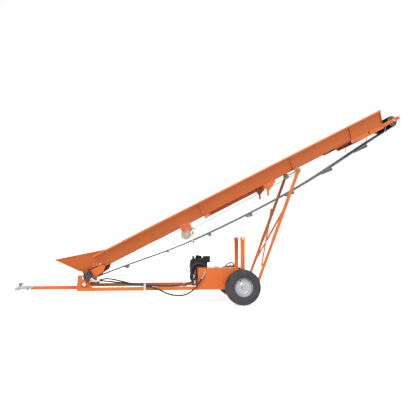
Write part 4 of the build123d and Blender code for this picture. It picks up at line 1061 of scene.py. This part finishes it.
def make_tank_details():
    """Weld beads, the bolts along the lower edge and the plug of the oil tank, and the ribbed filler cap with its
    flange.
    """
    low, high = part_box("hydraulic_tank")
    bm = bmesh.new()
    x0, x1, y0, z0 = low[0], high[0], low[1], low[2]
    z1 = at(0, 0, 524).z
    bead = 0.0016
    for x in (x0 + 0.0065, x1 - 0.0065):
        line = [Vector((x, y0 - 0.0004, z0 + 0.004 + i * 0.006)) for i in range(43)]
        sizes = [bead * (1 + 0.3 * math.sin(i * 2.4)) for i in range(43)]
        add_pipe(bm, line, sizes, 8)
    line = [Vector((x0 + 0.008 + i * 0.0066, y0 - 0.0002, z1 - 0.001)) for i in range(88)]
    add_pipe(bm, line, [bead * (1 + 0.3 * math.sin(i * 2.4)) for i in range(88)], 8)
    line = [Vector((x0 + 0.008 + i * 0.0066, y0 - 0.0002, z0 + 0.002)) for i in range(88)]
    add_pipe(bm, line, [bead * (1 + 0.3 * math.sin(i * 2.4)) for i in range(88)], 8)
    finish_mesh(bm, "tank_weld_beads", "orange_paint", "trailer_frame", bevel=0)
    bm = bmesh.new()
    for x in (-596, -470, -330, -190, -96):
        add_hex(bm, Vector((AXLE_X + x * MM, y0, z0 + 0.026)), -Y, 0.011, 0.005)
    add_lathe(bm, Vector((at(-110, 0, 0).x, y0, z0 + 0.06)), -Y,
              [(0, 0.009), (0.010, 0.009), (0.012, 0.007), (0.012, 0)],
              6)
    # The bolts and plug take the darker orange copy of the paint: painted shade.
    finish_mesh(bm, "tank_fasteners", "worn_orange", "trailer_frame", bevel=0.0003)
    centre = Vector((FILLER.x, FILLER.y, at(0, 0, 524).z))
    bm = bmesh.new()
    add_lathe(bm, centre, Z, [(0.0326, 0.0165), (0.0335, 0.0160), (0.0350, 0.0175), (0.0350, 0.041),
                              (0.0335, 0.045),
                              (0.028, 0.0465), (0.0262, 0.047), (0.0258, 0.0510), (0.024, 0.052),
                              (0, 0.052)], 72)
    for i in range(36):
        a = 2 * math.pi * i / 36
        side = Vector((math.cos(a), math.sin(a), 0)) * 0.0346
        add_pipe(bm, [centre + side + Z * 0.019, centre + side + Z * 0.040], 0.0011, 6)
    finish_mesh(bm, "filler_cap_knurled", "chrome", "filler_cap", ("filler_cap",), bevel=0)
    bm = bmesh.new()
    add_lathe(bm, centre, Z, [(0.032, 0), (0.0375, 0), (0.0375, 0.004), (0.032, 0.006)], 64, True)
    for i in range(6):
        a = 2 * math.pi * (i + 0.3) / 6
        add_drum(bm, centre + Vector((math.cos(a), math.sin(a), 0)) * 0.0350 + Z * 0.0035, Z, 0.0022,
                 0.003, 16)
    finish_mesh(bm, "filler_flange", "zinc", "trailer_frame", bevel=0)


# ---- drive end ----
def make_pivots():
    """Flange bearings of the conveyor pivot and the pin through them."""
    bm = bmesh.new()
    for side in (-1, 1):
        plate = [(-2358, 267), (-2358, 351), (-2234, 351), (-2234, 267)]
        depth = (333.2, 344.8) if side > 0 else (-344.8, -333.2)
        add_moulding(bm, plate, depth, 20, 1.6, side_on)
        centre = at(-2296, side * 333.2, 309)
        add_lathe(bm, centre, Y * side, [(0.0178, 0.001), (0.036, 0.011), (0.0330, 0.0135),
                                         (0.0318, 0.0225),
                                         (0.0300, 0.0238), (0.0178, 0.0238)], 56, True)
        add_lathe(bm, centre + Vector((0.024, side * 0.0180, 0.021)), Vector((1, 0, 0.9)),
                  [(0.0034, 0), (0.0034, 0.004), (0.0022, 0.005), (0.0028, 0.008), (0, 0.009)], 12)
    finish_mesh(bm, "pivot_flanges", "orange_paint", "trailer_frame", ("pivot_bearings",), bevel=0.0005)
    bm = bmesh.new()
    add_pipe(bm, [at(-2296, -356, 309), at(-2296, 356, 309)], 0.01745, 40)
    for side in (-1, 1):
        add_lathe(bm, at(-2296, side * 356.9, 309), Y * side,
                  [(0, 0.0049), (0.0135, 0.0049), (0.0155, 0.0042),
                                                              (0.0172, 0.0022), (0.0174, -0.002)], 40)
        add_ring(bm, at(-2296, side * 357.1, 309), Y * side, 0.0245, 0.0172, 0.0026, 40)
    finish_mesh(bm, "pivot_pin", "pale_zinc", "trailer_frame", bevel=0.0003)


def make_motor():
    """Hydraulic motor: mounting flange, gear housing and the bolted round end cover."""
    axis = -Y
    bm = bmesh.new()
    add_moulding(bm, [(-61, -61), (-61, 61), (61, 61), (61, -61)], (-322.6, -309.4), 30, 2, trough_side_on)
    start = Vector((TAIL.x, -0.3226, TAIL.z))
    body = [(0.0, -0.01), (0.047, -0.01), (0.049, 0.004), (0.049, 0.014), (0.046, 0.017), (0.046, 0.038),
            (0.0595, 0.040),
            (0.0608, 0.044), (0.0608, 0.0865), (0.0590, 0.0895), (0.0520, 0.0900), (0.0510, 0.0886),
            (0.0360, 0.0886),
            (0.0348, 0.0910), (0.0225, 0.0912), (0.0210, 0.0890), (0.0, 0.0888)]
    add_lathe(bm, start, axis, body, 72)
    finish_mesh(bm, "motor_body", "motor_black", "conveyor", ("hydraulic_motor",),
                bevel=0.0006)
    bm = bmesh.new()
    for i in range(7):
        a = 2 * math.pi * (i + 0.2) / 7
        place = start + (X * math.cos(a) + Z * math.sin(a)) * 0.0445 + axis * 0.0884
        add_hex(bm, place, axis, 0.0105, 0.0035)
    add_hex(bm, start + axis * 0.0886, axis, 0.012, 0.0028)
    finish_mesh(bm, "motor_cover_bolts", "dark_steel", "conveyor", bevel=0.0003)
    bm = bmesh.new()
    add_moulding(bm, [(20, 40), (20, 60), (62, 58), (66, 42), (50, 30)], (-406, -368), 8, 3, trough_side_on)
    add_moulding(bm, [(50, -34), (50, 6), (76, 2), (78, -26)], (-412, -372), 8, 3, trough_side_on)
    finish_mesh(bm, "motor_port_blocks", "motor_black", "conveyor", bevel=0.0006)
    bm = bmesh.new()
    for u, v in ((44, 44), (44, -44), (-44, 44), (-44, -44)):
        place = trough(u, -324.2, v)
        add_ring(bm, place, Y, 0.0100, 0.0060, 0.0012, 28)
    for side in (-1, 1):
        band = [trough(u, side * 301.8, 66 - 0.05 * (u - 101)) for u in (22, 60, 101, 142, 180)]
        rows = [[p + RISE * h for p in band] for h in (-0.011, 0.011)]
        low = [bm.verts.new(p) for p in rows[0]]
        high = [bm.verts.new(p) for p in rows[1]]
        for i in range(4):
            bm.faces.new((low[i], low[i + 1], high[i + 1], high[i]))
    finish_mesh(bm, "slot_seals", "rubber", "conveyor", bevel=0)


# ---- winch, rope and pulley ----
def make_winch_parts():
    """Toothed winch gear with its drum and rope coil, its cover, and the cranked pinion with its crank."""
    face, back = -0.338, -0.331
    gear_r = 0.074
    pinion_r = math.hypot(CRANK.x - WINCH.x, CRANK.z - WINCH.z) - gear_r
    bm = bmesh.new()
    add_gear(bm, WINCH, gear_r, 60, 0.0022, face, back, 0.030)
    add_ring(bm, Vector((WINCH.x, face - 0.0012, WINCH.z)), Y, 0.0655, 0.0600, 0.002, 72)
    for y in (-0.303, -0.222):
        add_lathe(bm, Vector((WINCH.x, y, WINCH.z)), Y, [(0.0, 0.0), (0.0465, 0.0), (0.048, 0.0008),
                                                         (0.048, 0.0022),
                                                        (0.0465, 0.003), (0, 0.003)], 64)
    add_pipe(bm, [Vector((WINCH.x, y, WINCH.z)) for y in (-0.342, -0.3415, -0.2105, -0.210)],
             [0.0070, 0.008, 0.008, 0.007],
             28)
    finish_mesh(bm, "winch_gear", "yellow_zinc", "winch_drum", ("winch_drum",), bevel=0.0003)
    bm = bmesh.new()
    add_lathe(bm, Vector((WINCH.x, face - 0.0002, WINCH.z)), Y,
              [(0.0, -0.0022), (0.016, -0.0022), (0.018, -0.0010),
                                                                     (0.031, -0.0006), (0.031, 0.007)], 48)
    finish_mesh(bm, "winch_gear_hub", "grey_steel", "winch_drum", bevel=0)
    bm = bmesh.new()
    cover = [(1511, -151), (1511, -87), (1583, -87), (1583, -151)]
    add_moulding(bm, cover, (-349.2, -348.1), 8, 0.4, trough_side_on)
    for u, v in ((1518, -144), (1518, -94), (1576, -94), (1576, -144)):
        add_drum(bm, trough(u, -349.1, v), -Y, 0.0034, 0.0016, 16)
    finish_mesh(bm, "winch_gear_cover", "grey_steel", "conveyor", bevel=0.0002)
    bm = bmesh.new()
    coil = []
    turns = 12
    for i in range(turns * 24 + 1):
        a = 2 * math.pi * i / 24
        y = -0.2990 + 0.0062 * i / 24
        coil.append(Vector((WINCH.x + 0.0298 * math.cos(a), y, WINCH.z + 0.0298 * math.sin(a))))
    add_pipe(bm, coil, 0.0030, 8)
    add_pipe(bm, [Vector((WINCH.x, -0.2995, WINCH.z)), Vector((WINCH.x, -0.2195, WINCH.z))], 0.0275, 40)
    finish_mesh(bm, "rope_coil", "wire_rope", "winch_drum", bevel=0)
    bm = bmesh.new()
    add_gear(bm, CRANK, pinion_r, 12, 0.0021, face - 0.0005, back + 0.0005, 0.0078)
    add_pipe(bm, [Vector((CRANK.x, y, CRANK.z)) for y in (-0.3795, -0.379, -0.2105, -0.210)],
             [0.007, 0.0079, 0.0079, 0.007],
             28)
    add_lathe(bm, Vector((CRANK.x, -0.3800, CRANK.z)), Y, [(0.0079, 0), (0.0155, 0.0004), (0.0168, 0.002),
                                                           (0.0168, 0.026),
                                                          (0.0155, 0.0278), (0.0079, 0.028)], 40, True)
    arm = [(1611, -106), (1624, -96), (1636, -108), (1590, -264), (1584, -275), (1566, -275), (1562, -262)]
    add_moulding(bm, arm, (-374, -366.2), 9, 1.4, trough_side_on)
    add_pipe(bm, [trough(1575, y, -264) for y in (-364, -366, -378, -380)], [0.0085, 0.010, 0.010, 0.0072],
             24)
    finish_mesh(bm, "crank_arm", "bright_yellow_zinc", "winch_crank", ("winch_crank",),
                bevel=0.0003)
    bm = bmesh.new()
    grip = [(0, 0), (0.0095, 0.0005), (0.0125, 0.003), (0.0128, 0.012), (0.0138, 0.022), (0.0138, 0.040),
            (0.0128, 0.055),
            (0.0132, 0.075), (0.0138, 0.084), (0.0130, 0.090), (0.0095, 0.094), (0, 0.0950)]
    add_lathe(bm, trough(1575, -379, -264), -Y, grip, 40)
    finish_mesh(bm, "crank_grip", "black_plastic", "winch_crank", bevel=0)


def rope_line():
    """Middle of the rope from the drum to the hook."""
    start = trough(1534, -258, -88)
    end = trough(3440, 0, -66)
    return start, end


def make_rope():
    """Six-strand wire rope from the drum to the hook, with the ferrule at its hook end."""
    start, end = rope_line()
    along = (end - start).normalized()
    side = along.cross(Y).normalized()
    other = along.cross(side)
    steps = 190
    bm = bmesh.new()
    for strand in range(5):
        points = []
        for i in range(steps + 1):
            a = 2 * math.pi * (i / 7 + strand / 5)
            points.append(start.lerp(end, i / steps) + (side * math.cos(a) + other * math.sin(a)) * 0.0018)
        add_pipe(bm, points, 0.0013, 5)
    rope = finish_mesh(bm, "hoist_rope", "wire_rope", None, ("winch_cable",), bevel=0)
    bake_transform(rope)
    bm = bmesh.new()
    add_lathe(bm, end - along * 0.052, along, [(0.0033, 0), (0.0060, 0.001), (0.0062, 0.004),
                                               (0.0062, 0.036), (0.0060, 0.039),
                                       (0.0033, 0.040)], 24, True)
    loop = []
    for i in range(17):
        a = math.radians(-60 + 300 * i / 16)
        loop.append(trough(3452, 0, -66) + ALONG * 0.011 * -math.cos(a) + RISE * 0.0095 * math.sin(a))
    add_pipe(bm, loop, 0.0026, 10)
    finish_mesh(bm, "rope_ferrule", "zinc", "cable_hook", bevel=0)


def make_pulley():
    """Grooved rope pulley below the first seam, with its pin."""
    bm = bmesh.new()
    y = -0.2825
    centre = Vector((PULLEY.x, y, PULLEY.z))
    profile = [(0.0062, -0.0138), (0.0110, -0.0138), (0.0115, -0.0100), (0.0270, -0.0095),
               (0.0288, -0.0085),
               (0.0290, -0.0060), (0.0225, -0.0030), (0.0218, 0.0), (0.0225, 0.0030), (0.0290, 0.0060),
               (0.0288, 0.0085),
               (0.0270, 0.0095), (0.0115, 0.0100), (0.0110, 0.0138), (0.0062, 0.0138)]
    add_lathe(bm, centre, Y, profile, 56, True)
    add_pipe(bm, [Vector((PULLEY.x, t, PULLEY.z)) for t in (-0.304, -0.3035, -0.2625, -0.262)],
             [0.0052, 0.0061, 0.0061, 0.0052], 24)
    finish_mesh(bm, "rope_pulley", "yellow_zinc", "seam_pulley", ("seam_pulley",),
                bevel=0.0003)


# ---- discharge end ----
def make_head_roller():
    """Head pulley: rubber-lagged face, recessed ends with pressed ribs, plated rims and the shaft."""
    bm = bmesh.new()
    for side in (-1, 1):
        centre = Vector((HEAD.x, side * 0.250, HEAD.z))
        add_lathe(bm, centre, Y * side, [(0.0120, -0.006), (0.022, -0.006), (0.024, -0.016),
                                         (0.055, -0.018), (0.058, -0.002),
                                         (0.0662, 0.004), (0.0745, 0.0055), (0.0764, 0.003),
                                         (0.0764, -0.004)], 56)
    add_pipe(bm, [Vector((HEAD.x, y, HEAD.z)) for y in (-0.2500, 0.2500)], 0.0755, 72)
    finish_mesh(bm, "head_roller_core", "cast_black", "head_roller", ("head_roller",), bevel=0)
    bm = bmesh.new()
    for side in (-1, 1):
        centre = Vector((HEAD.x, side * 0.250, HEAD.z))
        add_ring(bm, centre, Y * side, 0.0655, 0.0585, 0.0058, 72)
        add_lathe(bm, centre, Y * side, [(0.0122, -0.002), (0.0235, -0.002), (0.0235, 0.004),
                                         (0.0122, 0.0045)], 40, True)
        for i in range(5):
            a = 2 * math.pi * i / 5
            d = Vector((math.cos(a), 0, math.sin(a)))
            add_pipe(bm, [centre + d * 0.022 + Y * side * 0.001, centre + d * 0.060 + Y * side * 0.001],
                     0.0038, 10)
    finish_mesh(bm, "head_roller_rims", "yellow_zinc", "head_roller", bevel=0.0004)
    bm = bmesh.new()
    add_pipe(bm, [Vector((HEAD.x, y, HEAD.z)) for y in (-0.318, -0.3168, 0.3168, 0.318)],
             [0.0108, 0.0121, 0.0121, 0.0108],
             40)
    finish_mesh(bm, "head_roller_shaft", "pale_zinc", "head_roller", bevel=0)


# ---- towing end ----
def make_coupler():
    """Pressed steel ball coupler: domed socket, tapering neck, channel over the tongue."""
    bm = bmesh.new()
    centre = at(-3345, 0, 190)
    inside = [(0, 43), (12, 42), (20, 38), (25.8, 31), (25.8, 0)]
    dome = [(33.5, 0), (35, 1.5), (35, 30), (33.5, 38), (29.5, 44), (22, 47.4), (10, 48), (0, 48)]
    add_lathe(bm, centre, Z, [(r * MM, z * MM) for r, z in inside + dome], 64)
    neck = [(-3340, 209), (-3340, 238), (-3300, 261), (-3222, 257), (-3222, 217)]
    add_moulding(bm, neck, (-29.6, 29.6), 8, 5, side_on)
    tongue = 228
    for side in (-1, 1):
        add_moulding(bm, [(-3234, tongue - 24), (-3234, tongue + 29), (-3096, tongue + 29),
                          (-3096, tongue - 24)],
                     (side * 29.8 - 4.1, side * 29.8 + 4.1), 5, 1.2, side_on)
    world_box(bm, -3234, -3096, -33, 33, tongue + 25.4, tongue + 29.6)
    world_box(bm, -3234, -3102, -24, 24, tongue - 11, tongue + 24)
    for side in (-1, 1):
        cheek = [(-3372, 199), (-3377, 221), (-3362, 238), (-3330, 250), (-3298, 261), (-3230, 257),
                 (-3226, 210),
                 (-3300, 203), (-3330, 195)]
        add_moulding(bm, cheek, (side * 31 - 2.8, side * 31 + 2.8), 9, 1.6, side_on)
        add_moulding(bm, [(-3326, 244), (-3326, 283), (-3303, 283), (-3299, 258)],
                     (side * 17.75 - 2.2, side * 17.75 + 2.2), 5, 0.6, side_on)
    finish_mesh(bm, "ball_coupler", "galvanised", "trailer_frame", ("coupler_body",), bevel=0.0007)
    bm = bmesh.new()
    wedge = [(-3322, 268), (-3319, 304), (-3282, 302), (-3270, 285), (-3276, 266)]
    add_moulding(bm, wedge, (-13.8, 13.8), 6, 2.4, side_on)
    add_pipe(bm, [at(-3296, 0, 288.4), at(-3262, 0, 297), at(-3234, 0, 304.4), at(-3228, 0, 306),
                  at(-3226, 0, 306.4)],
             [0.0070, 0.0070, 0.0070, 0.0064, 0.0040], 20)
    add_pipe(bm, [at(-3314, y, 274) for y in (-23, -22.4, 22.4, 23)], [0.0034, 0.004, 0.004, 0.0034], 20)
    finish_mesh(bm, "coupler_catch", "dark_steel", "coupler_latch", ("coupler_latch",),
                bevel=0.0004)


def make_post_rod():
    """Plated rod that ties the two rest posts, with washers under its heads."""
    bm = bmesh.new()
    z = 970
    add_pipe(bm, [at(41, -249.6, z), at(41, 249.6, z)], 0.0064, 24)
    for side in (-1, 1):
        face = at(41, side * 310.4, z)
        add_lathe(bm, face, Y * side, [(0.0, 0.0074), (0.0125, 0.0074), (0.0136, 0.006), (0.0136, 0.002),
                                       (0.0165, 0.0018),
                                       (0.0165, 0.0), (0, 0)], 36)
    finish_mesh(bm, "post_tie_rod", "zinc", "trailer_frame", bevel=0)


make_camera()
make_light()
make_floor()
for hose_name, hose_route, crosses in (("hose_return", RETURN_ROUTE, True),
                                       ("hose_pressure", PRESSURE_ROUTE, True),
                                       ("hose_tank", TANK_ROUTE, False)):
    make_hose(hose_name, hose_route, crosses)
make_fittings()
make_belt()
make_engine()
make_valve()
make_tank_details()
make_pivots()
make_motor()
make_winch_parts()
make_rope()
make_pulley()
make_head_roller()
make_coupler()
make_post_rod()
for wheel_side, wheel_name in ((-1, "left"), (1, "right")):
    make_tyre(wheel_side, wheel_name)
    make_rim(wheel_side, wheel_name)


# ---- finish on the CAD nodes ----
def dress_nodes():
    """Gives every CAD node its procedural finish and slightly rounded edges."""
    slots = {part["node"]: part["material_slot"] for part in frame["record"]["subparts"]}
    special = {"support_rollers": "yellow_zinc", "frame_bolts": "dark_bolt", "winch_pawl": "grey_steel",
               "conveyor_bolts": "grey_steel"}
    for name, node in nodes.items():
        if node.hide_render:
            continue
        look = special.get(name, slots[name])
        node.data.materials.clear()
        node.data.materials.append(LOOKS[look])
        weld = node.modifiers.new("joined_corners", "WELD")
        weld.merge_threshold = 0.00001
        rounding = node.modifiers.new("rounded_edges", "BEVEL")
        rounding.width = 0.0009
        rounding.segments = 2
        rounding.limit_method = "ANGLE"
        rounding.angle_limit = math.radians(40)


dress_nodes()
